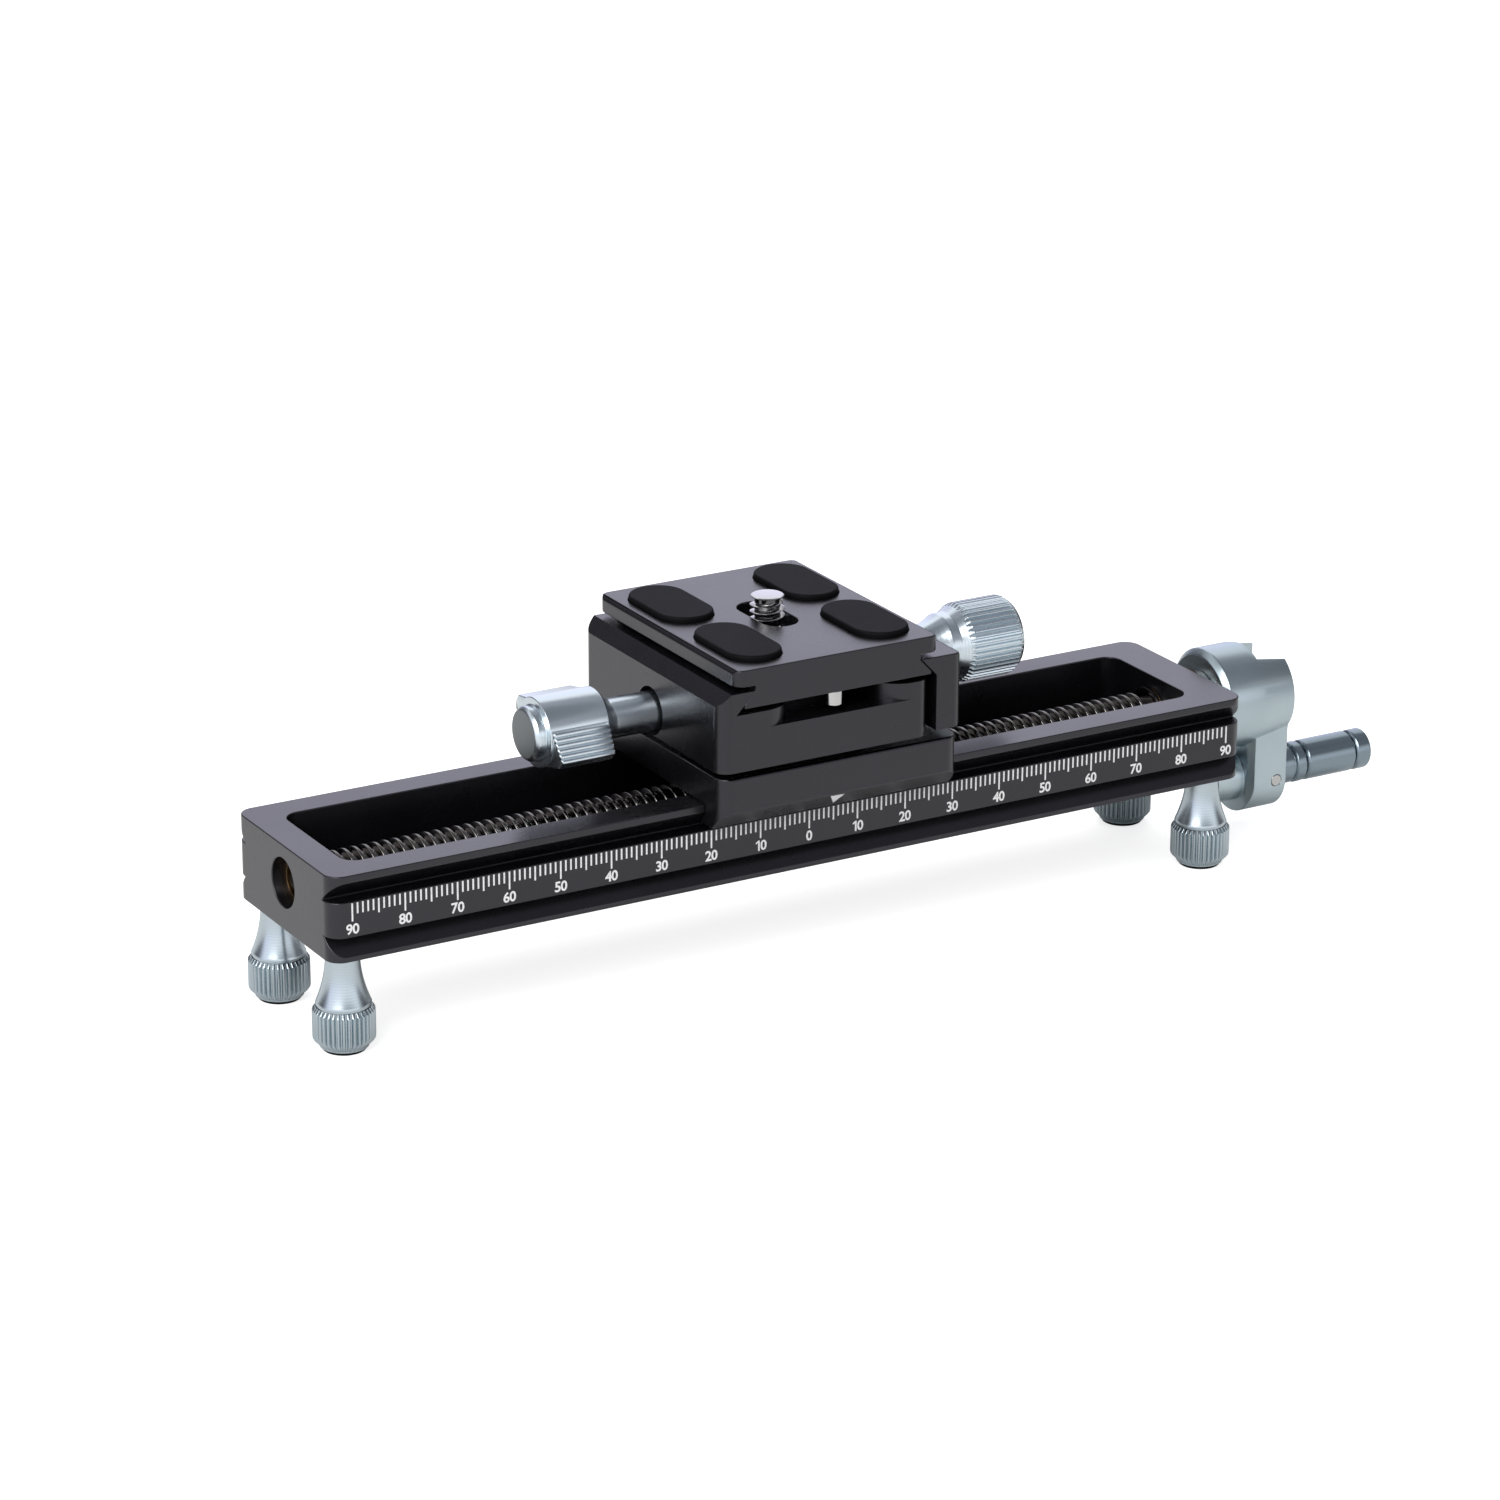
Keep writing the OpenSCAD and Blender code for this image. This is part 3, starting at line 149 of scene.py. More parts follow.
# The table glows to the camera alone, so that it runs into the white room and keeps the shadow
table_white = new_material("matt_white_table")
path = add_node(table_white, "ShaderNodeLightPath")
glow = add_node(table_white, "ShaderNodeMath", {"operation": "MULTIPLY"},
                {0: path.outputs["Is Camera Ray"], 1: 0.75})
surface = add_node(table_white, "ShaderNodeBsdfPrincipled", {}, {
    "Base Color": srgb("#e6e6e6"), "Roughness": 0.9, "Specular IOR Level": 0.1,
    "Emission Color": srgb("#ffffff"), "Emission Strength": glow.outputs[0]})
add_node(table_white, "ShaderNodeOutputMaterial", {}, {"Surface": surface.outputs[0]})
table_white.cycles.emission_sampling = "NONE"
table_half = 6.0
# The height of the table, on which the soles stand
ground = -18.2 * mm
table_mesh = bpy.data.meshes.new("table")
table_mesh.from_pydata([(x * table_half, y * table_half, ground)
                        for x, y in ((-1, -1), (1, -1), (1, 1), (-1, 1))], [], [(0, 1, 2, 3)])
table_mesh.materials.append(table_white)
table = bpy.data.objects.new("table", table_mesh)
scene.collection.objects.link(table)
table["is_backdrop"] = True

# Places and widths in metres, tilts in degrees, power in watts
soft_boxes = (("front_box", (-0.75, -0.55, 0.75), (48, 0, -54), 0.7, 7.5),
              ("top_box", (0.2, 0.35, 1.1), (-18, 10, 0), 0.9, 6.0))
for name, place, tilt, width, power in soft_boxes:
    light = bpy.data.lights.new(name, "AREA")
    light.size = width
    light.energy = power
    lamp = bpy.data.objects.new(name, light)
    lamp.location = place
    lamp.rotation_euler = [radians(a) for a in tilt]
    # Only the front box shows as a highlight
    lamp.visible_glossy = name == "front_box"
    scene.collection.objects.link(lamp)

# ---------------------------------------------------------------------------------------------
# Rail: one bar of aluminium, extruded, with its window and grooves milled, its edges broken, bead
# blasted very finely and anodised black. The oxide is clear and glassy over a black dye, so faces
# seen at a low angle turn grey with a violet cast and faces seen square on stay nearly black.

black_anodised = new_material("black_anodised_aluminium")
place = add_node(black_anodised, "ShaderNodeTexCoord").outputs["Object"]
# Blast grain is 0.05 mm across; it is drawn at 0.45 mm, so that it shows as a faint tooth
blast = add_node(black_anodised, "ShaderNodeTexNoise", {},
                 {"Vector": place, "Scale": 1 / (0.45 * mm), "Detail": 3, "Roughness": 0.6})
# The dye bath leaves clouds about 20 mm across, a little greyer and a little duller
cloud = add_node(black_anodised, "ShaderNodeTexNoise", {},
                 {"Vector": place, "Scale": 1 / (20 * mm), "Detail": 4, "Roughness": 0.55})
dye = add_node(black_anodised, "ShaderNodeValToRGB", {}, {"Fac": cloud.outputs[0]})
dye.color_ramp.elements[0].position = 0.3
dye.color_ramp.elements[0].color = srgb("#09090b")
dye.color_ramp.elements[1].position = 0.75
dye.color_ramp.elements[1].color = srgb("#100f13")
dulled = add_node(black_anodised, "ShaderNodeMapRange", {}, {
    "Value": cloud.outputs[0], "From Min": 0.3, "From Max": 0.7, "To Min": 0.24, "To Max": 0.31})
tooth = add_node(black_anodised, "ShaderNodeBump", {},
                 {"Strength": 0.2, "Distance": 0.02 * mm, "Height": blast.outputs[0]})
# The coat is the sealed skin of the oxide, which lifts the gloss at low angles
oxide = add_node(black_anodised, "ShaderNodeBsdfPrincipled", {}, {
    "Base Color": dye.outputs[0], "Roughness": dulled.outputs[0], "IOR": 1.5,
    "Specular Tint": srgb("#f3efff"), "Normal": tooth.outputs[0],
    "Coat Weight": 0.45, "Coat Roughness": 0.3, "Coat IOR": 1.5, "Coat Tint": srgb("#ffffff")})
add_node(black_anodised, "ShaderNodeOutputMaterial", {}, {"Surface": oxide.outputs[0]})


def dress(name, material, edge=0.0, segments=2, spare=False):
    """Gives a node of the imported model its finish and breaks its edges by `edge` millimetres, or
    with spare by less, where a narrow face leaves no room."""
    node = nodes[name]
    for slot in node.material_slots:
        slot.material = material
    if edge:
        # Triangles are joined to whole faces first, so that each edge is broken in one run
        joined = node.modifiers.new("joined_faces", "WELD")
        joined.merge_threshold = 0.002 * mm
        flat = node.modifiers.new("flat_faces", "DECIMATE")
        flat.decimate_type = "DISSOLVE"
        flat.angle_limit = radians(1)
        broken = node.modifiers.new("broken_edges", "BEVEL")
        broken.width = edge * mm
        broken.segments = segments
        broken.limit_method = "ANGLE"
        broken.angle_limit = radians(28)
        broken.use_clamp_overlap = spare
        shaded = node.modifiers.new("even_shading", "WEIGHTED_NORMAL")
        shaded.weight = 90


dress("rail_frame", black_anodised, 0.22)

# ---------------------------------------------------------------------------------------------
# Scale: white paint printed on the rail's front band, a tick at each millimetre, longer ones at
# five and ten, with plain figures from zero to ninety both ways.

white_print = new_material("white_pad_printing_ink")
place = add_node(white_print, "ShaderNodeTexCoord").outputs["Object"]
# The ink lies a little thinner in specks about 0.3 mm across, where the black greys it
thin = add_node(white_print, "ShaderNodeTexNoise", {},
                {"Vector": place, "Scale": 1 / (0.3 * mm), "Detail": 2})
ink = add_node(white_print, "ShaderNodeValToRGB", {}, {"Fac": thin.outputs[0]})
ink.color_ramp.elements[0].position = 0.3
ink.color_ramp.elements[0].color = srgb("#e6e6ea")
ink.color_ramp.elements[1].position = 0.55
ink.color_ramp.elements[1].color = srgb("#fbfbfc")
paint = add_node(white_print, "ShaderNodeBsdfPrincipled", {},
                 {"Base Color": ink.outputs[0], "Roughness": 0.45, "IOR": 1.48})
add_node(white_print, "ShaderNodeOutputMaterial", {}, {"Surface": paint.outputs[0]})


def make_piece(name, points, faces, material, body, stands_for=(), sharp=38):
    """Makes a piece from its mesh, smooth except at edges sharper than `sharp` degrees."""
    mesh = bpy.data.meshes.new(name)
    mesh.from_pydata(points, [], faces)
    work = bmesh.new()
    work.from_mesh(mesh)
    bmesh.ops.recalc_face_normals(work, faces=work.faces)
    work.to_mesh(mesh)
    work.free()
    mesh.materials.append(material)
    mesh.shade_smooth()
    mesh.set_sharp_from_angle(angle=radians(sharp))
    piece = bpy.data.objects.new(name, mesh)
    scene.collection.objects.link(piece)
    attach(piece, body)
    if stands_for:
        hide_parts(*stands_for)
    return piece


ink_t = 0.02
rail_front = -19
band_y = rail_front - ink_t
tick_w = 0.31
tick_top = 10.75
tick_l = {10: 3.3, 5: 2.6, 1: 2.0}
scale_end = 90
figure_h = 1.95
figure_w = 1.22
figure_foot = 5.1
# The font's one has a foot and a thin flag, so the one is drawn plain: a bar with a slanted flag
plain_one = [(0.1, 0), (0.46, 0), (0.46, 1.95), (0.14, 1.95),
             (-0.36, 1.62), (-0.36, 1.3), (0.1, 1.5)]
points, faces = [], []


def print_bar(x, low, high):
    """One printed tick: a flat bar with its four rims."""
    first = len(points)
    for y in (band_y, rail_front):
        points.extend(((x + s * tick_w / 2) * mm, y * mm, z * mm)
                      for s, z in ((-1, low), (1, low), (1, high), (-1, high)))
    faces.append((first, first + 1, first + 2, first + 3))
    faces.extend((first + i, first + (i + 1) % 4, first + 4 + (i + 1) % 4, first + 4 + i)
                 for i in range(4))


for x in range(-scale_end, scale_end + 1):
    step = 10 if x % 10 == 0 else 5 if x % 5 == 0 else 1
    print_bar(x, tick_top - tick_l[step], tick_top)
for x in range(-scale_end, scale_end + 1, 10):
    number = str(abs(x))
    for place, digit in enumerate(number):
        centre = x + (place - (len(number) - 1) / 2) * figure_w
        first = len(points)
        if digit == "1":
            points.extend(((centre + u) * mm, band_y * mm, (figure_foot + v) * mm)
                          for u, v in plain_one)
            faces.extend([first + i for i in face]
                         for face in ((0, 1, 2, 6), (2, 3, 6), (3, 4, 5, 6)))
            continue
        words = bpy.data.curves.new("figure", "FONT")
        words.body = digit
        words.size = 1
        # The printed strokes are a little bolder than the font's
        words.offset = 0.024
        words.resolution_u = 3
        written = bpy.data.objects.new("figure", words)
        shape = bpy.data.meshes.new_from_object(written)
        across = [v.co.x for v in shape.vertices]
        upward = [v.co.y for v in shape.vertices]
        low, tall = min(upward), max(upward)
        middle = (min(across) + max(across)) / 2
        scale = figure_h / (tall - low)
        points.extend(((centre + (v.co.x - middle) * scale) * mm, band_y * mm,
                       (figure_foot + (v.co.y - low) * scale) * mm) for v in shape.vertices)
        faces.extend([first + i for i in face.vertices] for face in shape.polygons)
        bpy.data.objects.remove(written)
make_piece("scale_print", points, faces, white_print, "rail")

# ---------------------------------------------------------------------------------------------
# Bearings: the left bush is set back in the end wall's bore, the flanged one stands at the crank
# end with a steel thrust washer against it. Sintered bronze, turned, full of oil.


def machined(name, colour, roughness, axis, spacing, depth):
    """Turned metal: tool marks run round the axis, `spacing` mm apart and `depth` mm deep, under
    a cloudy sheen."""
    material = new_material(name)
    place = add_node(material, "ShaderNodeTexCoord").outputs["Object"]
    # The real marks are 0.05 to 0.1 mm apart; they are drawn wider, so that the eye sees them
    marks = add_node(material, "ShaderNodeTexWave", {"bands_direction": axis},
                     {"Vector": place, "Scale": pi / 10 / (spacing * mm), "Distortion": 1.5,
                      "Detail": 2, "Detail Scale": 0.4})
    cloud = add_node(material, "ShaderNodeTexNoise", {},
                     {"Vector": place, "Scale": 1 / (4 * mm), "Detail": 4})
    grain = add_node(material, "ShaderNodeMix", {"data_type": "FLOAT"},
                     {"Factor": 0.5, "A": marks.outputs["Fac"], "B": cloud.outputs[0]})
    tone = add_node(material, "ShaderNodeValToRGB", {}, {"Fac": grain.outputs[0]})
    light = srgb(colour)
    tone.color_ramp.elements[0].position = 0.25
    tone.color_ramp.elements[0].color = [0.95 * c for c in light[:3]] + [1]
    tone.color_ramp.elements[1].position = 0.75
    tone.color_ramp.elements[1].color = light
    sheen = add_node(material, "ShaderNodeMapRange", {}, {
        "Value": grain.outputs[0], "From Min": 0.2, "From Max": 0.8,
        "To Min": roughness + 0.006, "To Max": roughness - 0.006})
    ridges = add_node(material, "ShaderNodeBump", {},
                      {"Strength": 1, "Distance": depth * mm, "Height": marks.outputs["Fac"]})
    metal = add_node(material, "ShaderNodeBsdfPrincipled", {}, {
        "Base Color": tone.outputs[0], "Metallic": 1, "Roughness": sheen.outputs["Result"],
        "Normal": ridges.outputs[0]})
    add_node(material, "ShaderNodeOutputMaterial", {}, {"Surface": metal.outputs[0]})
    return material


bronze = machined("oiled_sintered_bronze", "#5d4a33", 0.36, "X", 0.7, 0.002)
ground_steel = machined("ground_bright_steel", "#c9c8c6", 0.22, "X", 0.6, 0.001)
dress("left_bush", bronze, 0.15)
dress("right_bush", bronze, 0.15)
dress("thrust_washer", ground_steel, 0.15)

# ---------------------------------------------------------------------------------------------
# Lead screw: bright steel with a rolled trapezoidal thread, right-handed, 2 mm to a turn. Its
# crests are burnished by the rolls and its roots stay dark with oil.

thread_steel = machined("rolled_thread_steel", "#7f7b78", 0.12, "X", 0.5, 0.0004)


def on_axis(axis, centre, place, radius, angle):
    """A point round an axis along X, where centre is its Y and Z, or along Z, with its X and Y."""
    u = centre[0] + radius * cos(angle)
    v = centre[1] + radius * sin(angle)
    return (place * mm, u * mm, v * mm) if axis == "X" else (u * mm, v * mm, place * mm)


def threaded(axis, centre, start, pitch, turns, section, before, after, sides):
    """A rod with a helical thread. section gives the places in one pitch, as shares, and radii;
    before and after are the plain rings at its two ends, as places and radii."""
    rows = len(section) * turns
    root = min(r for s, r in section)
    end = start + pitch * (turns + 1)
    points = []
    for place, r in before:
        points += [on_axis(axis, centre, place, r, 2 * pi * k / sides) for k in range(sides)]
    first = len(points)
    for j in range(rows + 1):
        share, r = section[j % len(section)]
        for k in range(sides):
            place = start + pitch * (j // len(section) + share + k / sides)
            grown = max(0, min(1, (place - start) / pitch, (end - place) / pitch))
            reach = root + (r - root) * grown
            points.append(on_axis(axis, centre, place, reach, 2 * pi * k / sides))
    last = len(points)
    for place, r in after:
        points += [on_axis(axis, centre, place, r, 2 * pi * k / sides) for k in range(sides)]

    def at(j, k):
        return first + j * sides + k

    turn = len(section)
    faces = [(at(j, k), at(j, k + 1), at(j + 1, k + 1), at(j + 1, k))
             for j in range(rows) for k in range(sides - 1)]
    faces += [(at(j, sides - 1), at(j + turn, 0), at(j + 1 + turn, 0), at(j + 1, sides - 1))
              for j in range(rows - turn)]
    for group, count in ((0, len(before)), (last, len(after))):
        faces += [(group + i * sides + k, group + i * sides + (k + 1) % sides,
                   group + (i + 1) * sides + (k + 1) % sides, group + (i + 1) * sides + k)
                  for i in range(count - 1) for k in range(sides)]
    ring = first - sides
    faces += [(ring + k, ring + k + 1, at(0, k + 1), at(0, k)) for k in range(sides - 1)]
    faces += [(at(rows, k), at(rows, k + 1), last + k + 1, last + k) for k in range(sides - 1)]
    faces.append([ring + sides - 1, ring]
                 + [at(j, 0) for j in range(turn + 1)] + [at(0, sides - 1)])
    faces.append([at(j, sides - 1) for j in range(rows - turn, rows + 1)]
                 + [last + sides - 1, last, at(rows, 0)])
    faces.append(list(range(sides)))
    faces.append([last + (len(after) - 1) * sides + k for k in range(sides)])
    return points, faces


thread_form = [(0.0, 3.0), (0.2, 3.0), (0.33, 3.84), (0.38, 3.97), (0.42, 4.0),
               (0.58, 4.0), (0.62, 3.97), (0.67, 3.84), (0.8, 3.0)]
screw_axis = (0, 8.75)
left_journal = [(-92, 0.5), (-91.9, 1.6), (-91.55, 2.4), (-91, 2.85), (-90.4, 3), (-87.9, 3),
                (-87.85, 2.9)]
collar_and_journal = [(84.6, 2.9), (84.7, 2.9), (84.7, 4.5), (84.8, 4.7), (85.5, 4.7), (85.6, 4.6),
                      (85.6, 3), (102.9, 3), (103, 2.9)]
points, faces = threaded("X", screw_axis, start=-87.6, pitch=2, turns=85, section=thread_form,
                         before=left_journal, after=collar_and_journal, sides=40)
make_piece("lead_screw_threaded", points, faces, thread_steel, "screw",
           ["lead_screw"], sharp=50)

# ---------------------------------------------------------------------------------------------
# Crank: hub, arm and boss milled from one block of aluminium, bead blasted and anodised in a
# titanium grey. Its screw, fold pin and the detent in the boss are bright steel.

blasted_grey = new_material("grey_anodised_blasted_aluminium")
place = add_node(blasted_grey, "ShaderNodeTexCoord").outputs["Object"]
# Blast grain of 0.08 mm, drawn at 0.5 mm
blast = add_node(blasted_grey, "ShaderNodeTexNoise", {},
                 {"Vector": place, "Scale": 1 / (0.5 * mm), "Detail": 3, "Roughness": 0.6})
# Faint clouds of the dye, 9 mm across
cloud = add_node(blasted_grey, "ShaderNodeTexNoise", {},
                 {"Vector": place, "Scale": 1 / (9 * mm), "Detail": 3})
tone = add_node(blasted_grey, "ShaderNodeValToRGB", {}, {"Fac": cloud.outputs[0]})
tone.color_ramp.elements[0].position = 0.3
tone.color_ramp.elements[0].color = srgb("#b8c6cb")
tone.color_ramp.elements[1].position = 0.7
tone.color_ramp.elements[1].color = srgb("#c0ced3")
sheen = add_node(blasted_grey, "ShaderNodeMapRange", {},
                 {"Value": blast.outputs[0], "To Min": 0.29, "To Max": 0.32})
tooth = add_node(blasted_grey, "ShaderNodeBump", {},
                 {"Strength": 0.15, "Distance": 0.02 * mm, "Height": blast.outputs[0]})
metal = add_node(blasted_grey, "ShaderNodeBsdfPrincipled", {}, {
    "Base Color": tone.outputs[0], "Metallic": 1, "Roughness": sheen.outputs[0],
    "Normal": tooth.outputs[0]})
add_node(blasted_grey, "ShaderNodeOutputMaterial", {}, {"Surface": metal.outputs[0]})

dress("crank_arm", blasted_grey, 0.22)
dress("crank_screw", ground_steel, 0.2)
dress("detent_plug", ground_steel, 0.15)
dress("detent_ball", ground_steel)
dress("fold_pin", ground_steel, 0.15)


def spring(name, axis, centre, start, length, radius, wire, turns, body, stands_for):
    """A coil of round wire, sixteen stretches to a turn."""
    points, faces = [], []
    stretches, sides = turns * 16, 8
    for i in range(stretches + 1):
        angle = 2 * pi * i / 16
        place = start + wire + (length - 2 * wire) * i / stretches
        points += [on_axis(axis, centre, place + wire * sin(2 * pi * k / sides),
                           radius + wire * cos(2 * pi * k / sides), angle) for k in range(sides)]
    faces = [(i * sides + k, i * sides + (k + 1) % sides, (i + 1) * sides + (k + 1) % sides,
              (i + 1) * sides + k) for i in range(stretches) for k in range(sides)]
    faces += [list(range(sides)), [stretches * sides + k for k in range(sides)]]
    return make_piece(name, points, faces, spring_steel, body, stands_for)


spring_steel = machined("hard_drawn_spring_wire", "#a9a8a6", 0.28, "X", 0.4, 0.001)
spring("detent_coil", "X", (0, -7.6), start=101.3, length=2.75, radius=1.25, wire=0.2, turns=6,
       body="screw", stands_for=["detent_spring"])

# ---------------------------------------------------------------------------------------------
# Grip: turned from aluminium bar and anodised grey. The stem folds on the pin, the sleeve turns on
# the stem's spindle between two fine grooves, and the cap closes the end.

turned_grey = machined("grey_anodised_turned_aluminium", "#8f9da5", 0.24, "X", 0.5, 0.0006)
dress("grip_stem", turned_grey, 0.15)
dress("grip_sleeve", turned_grey, 0.15)
dress("grip_cap", turned_grey, 0.15)

# ---------------------------------------------------------------------------------------------
# Carriage: a milled aluminium slab that hooks under the rail's lips, anodised with the rail. The
# bronze nut hangs under it on four screws, and a gib strip with three set screws takes up play.

dress("carriage_block", black_anodised, 0.25)
dress("drive_nut", bronze, 0.3)
dress("gib_strip", bronze)
dress("nut_screws", ground_steel, 0.15)
dress("gib_screws", ground_steel, 0.15)

# The index mark: a small white triangle printed on the front chamfer over the scale's zero. Its
# corners are places along the rail and distances down the chamfer from its upper edge.
front_y, chamfer_z = -25, 15.55
slant = 0.5 ** 0.5
index = [(1.0, 0.55), (3.95, 0.75), (2.9, 3.85)]
points = [(x * mm, (front_y + (s - out) * slant) * mm, (chamfer_z - (s + out) * slant) * mm)
          for out in (ink_t, 0) for x, s in index]
faces = [(0, 1, 2)] + [(i, (i + 1) % 3, 3 + (i + 1) % 3, 3 + i) for i in range(3)]
make_piece("index_mark", points, faces, white_print, "carriage")

# ---------------------------------------------------------------------------------------------
# Turning post: a turned steel pivot screwed to the carriage, with a white acetal ring round it
# that the clamp slides on.

acetal = new_material("white_acetal")
place = add_node(acetal, "ShaderNodeTexCoord").outputs["Object"]
# Faint turning rings, drawn 0.6 mm apart
rings = add_node(acetal, "ShaderNodeTexNoise", {},
                 {"Vector": place, "Scale": 1 / (0.6 * mm), "Detail": 2})
polish = add_node(acetal, "ShaderNodeMapRange", {},
                  {"Value": rings.outputs[0], "To Min": 0.4, "To Max": 0.55})
plastic = add_node(acetal, "ShaderNodeBsdfPrincipled", {},
                   {"Base Color": srgb("#dcdad2"), "Roughness": polish.outputs[0], "IOR": 1.48})
add_node(acetal, "ShaderNodeOutputMaterial", {}, {"Surface": plastic.outputs[0]})
dress("slip_ring", acetal, 0.1)
upright_steel = machined("turned_bright_steel", "#d2d1d0", 0.12, "Z", 0.6, 0.0006)
dress("pan_post", upright_steel)
dress("post_screw", upright_steel)

# ---------------------------------------------------------------------------------------------
# Clamp: body with a fixed dovetail nose and a moving jaw, both milled and anodised black. The jaw
# slides on two steel pins, and two springs push it open.

dress("clamp_body", black_anodised, 0.25, spare=True)
dress("clamp_jaw", black_anodised, 0.25)
dress("jaw_guide_pins", ground_steel, 0.2)
for side, y in (("front", -17), ("back", 17)):
    spring("jaw_coil_" + side, "X", (y, 27.3), start=16.5, length=5.9, radius=2.2, wire=0.35,
           turns=5, body="clamp", stands_for=["jaw_springs"] if side == "front" else [])

# ---------------------------------------------------------------------------------------------
# Turning lock: a grey anodised knob turned with a narrow neck, a smooth barrel and a stepped end.
# Two wings with six rounded ridges each are milled on its barrel for the fingers.


def loft(rows):
    """Joins rings of points, one after another, and closes both ends."""
    n = len(rows[0])
    faces = [(i * n + k, i * n + (k + 1) % n, (i + 1) * n + (k + 1) % n, (i + 1) * n + k)
             for i in range(len(rows) - 1) for k in range(n)]
    faces += [list(range(n)), [(len(rows) - 1) * n + k for k in range(n)]]
    return [p for row in rows for p in row], faces


def soften(profile, size):
    """Rounds each corner of a turned profile over `size` millimetres, less on short stretches."""
    out = [profile[0]]
    for before, corner, after in zip(profile, profile[1:], profile[2:]):
        ends = []
        for other in (before, after):
            run = hypot(other[0] - corner[0], other[1] - corner[1])
            share = min(size, 0.45 * run) / run
            ends.append([c + (o - c) * share for c, o in zip(corner, other)])
        for t in (0, 0.25, 0.5, 0.75, 1):
            out.append([(1 - t) ** 2 * a + 2 * t * (1 - t) * c + t * t * b
                        for a, c, b in zip(ends[0], corner, ends[1])])
    return out + [profile[-1]]


def turned(axis, centre, profile, angles, tooth=None):
    """Turns a profile of places and radii about an axis; tooth limits the radius at each angle."""
    return loft([[on_axis(axis, centre, place, min(r, tooth(a)) if tooth else r, a)
                  for a in angles] for place, r in profile])


round_angles = [2 * pi * k / 96 for k in range(96)]
lock_axis = (0, 27.5)
barrel_r = 6.4
# Both knobs share the grip's grey anodise, but their colour is painted much paler all over, as a
# painted highlight
painted_highlight_knob_grey = machined("turned_knobs_grey_painted_highlight", "#e0ebf1", 0.26, "X", 0.5, 0.0006)
lock_profile = [(-20.2, 3.65), (-30.4, 3.65), (-31.6, 4.0), (-32.5, 5.3), (-32.6, 5.8),
                (-33.2, barrel_r), (-45, barrel_r), (-45, 5.0), (-46.4, 5.0), (-47.1, 4.4),
                (-47.1, 0.3)]
points, faces = turned("X", lock_axis, soften(lock_profile, 0.25), round_angles)

# One wing's outline, seen along the knob's axis: its ridges, its back corner and its two roots
ridge_count, ridge_r = 6, 0.5
ridge_first = (-6.553, 1.297)
ridge_last = (-8.314, -3.175)
wing_back = (-7.66, -4.53)
wing_roots = ((-5.95, 2.05), (-2.86, -5.61))
wing_start, wing_l = -44.9, 11.5
facing = atan2(ridge_last[1] - ridge_first[1], ridge_last[0] - ridge_first[0]) - pi / 2
gaps = ridge_count - 1
outline = [wing_roots[0]]
for i in range(ridge_count):
    y = ridge_first[0] + (ridge_last[0] - ridge_first[0]) * i / gaps
    z = ridge_first[1] + (ridge_last[1] - ridge_first[1]) * i / gaps
    spread = 74 if i < gaps else 96
    outline += [(y + ridge_r * cos(facing + radians(a)), z + ridge_r * sin(facing + radians(a)))
                for a in (-74, -44, -15, 15, 44, spread)]
outline += [(wing_back[0] - 0.15, wing_back[1] + 0.12), wing_back,
            (wing_back[0] + 0.35, wing_back[1] - 0.08), wing_roots[1], (-1.0, -1.0)]
for turn in (1, -1):
    rows = []
    # Both ends are rounded, and the outer one slopes in
    for along, inset in ((0, 0.3), (0.12, 0.1), (0.35, 0),
                         (11.15, 0), (11.38, 0.1), (wing_l, 0.3)):
        row = []
        for y, z in outline:
            r = hypot(y, z)
            slope = 0.3 * max(0, r - barrel_r) * (1 - along / wing_l)
            row.append(((wing_start + along + slope) * mm, turn * y * (1 - inset / r) * mm,
                        (lock_axis[1] + turn * z * (1 - inset / r)) * mm))
        rows.append(row)
    wing_points, wing_faces = loft(rows)
    first = len(points)
    points += wing_points
    faces += [[first + i for i in face] for face in wing_faces]
knob = make_piece("lock_knob_winged", points, faces, painted_highlight_knob_grey, "lock",
                  ["lock_knob"], sharp=42)
# The end is faced square on the lathe, which leaves a duller disc there, drawn in a darker grey
# without the painted highlight of the rest of the knob
faced_end = machined("dull_faced_knob_end", "#8d9294", 0.45, "X", 0.5, 0.0006)
faced_from = -47.05
knob.data.materials.append(faced_end)
for face in knob.data.polygons:
    if all(knob.data.vertices[i].co.x < faced_from * mm for i in face.vertices):
        face.material_index = 1
dress("lock_stud", ground_steel, 0.2)
dress("lock_shoe", bronze, 0.1)

# ---------------------------------------------------------------------------------------------
# Jaw knob: turned with a flared neck and a cone, then straight knurled with 42 teeth and anodised
# grey. Its steel stud draws the jaw against the clamp.


def straight_knurl(radius, depth, count):
    """The angles of a straight knurl with rounded crests, and its radius at each of them."""
    form = ((0.0, 0.0), (0.1, 0.62), (0.22, 0.92), (0.38, 1.0), (0.54, 0.92), (0.66, 0.62),
            (0.76, 0.0))
    angles = [2 * pi * (i + share) / count for i in range(count) for share, high in form]
    heights = {round(a, 6): radius - depth * (1 - form[i % len(form)][1])
               for i, a in enumerate(angles)}
    return angles, lambda a: heights[round(a, 6)]


jaw_axis, jaw_knob_r = (0, 29.62), 7.4
angles, tooth = straight_knurl(jaw_knob_r, depth=0.6, count=42)
jaw_profile = ([(28.2, 0.4), (28.2, 3.3)]
               + [(28.3 + 10.1 * t, 3.4 + 2.6 * t ** 2.2) for t in [i / 12 for i in range(13)]]
               + [(40.0, 6.0), (41.5, 6.85), (42.4, jaw_knob_r), (51.9, jaw_knob_r), (52.4, 6.9),
                  (53.1, 6.5), (53.1, 0.3)])
# The neck's first corners stay sharp, where it meets the jaw
jaw_profile = jaw_profile[:3] + soften(jaw_profile[2:], 0.2)[1:]
points, faces = turned("X", jaw_axis, jaw_profile, angles, tooth)
make_piece("jaw_knob_knurled", points, faces, painted_highlight_knob_grey, "jaw_screw",
           ["jaw_knob"], sharp=30)
dress("jaw_stud", ground_steel, 0.2)

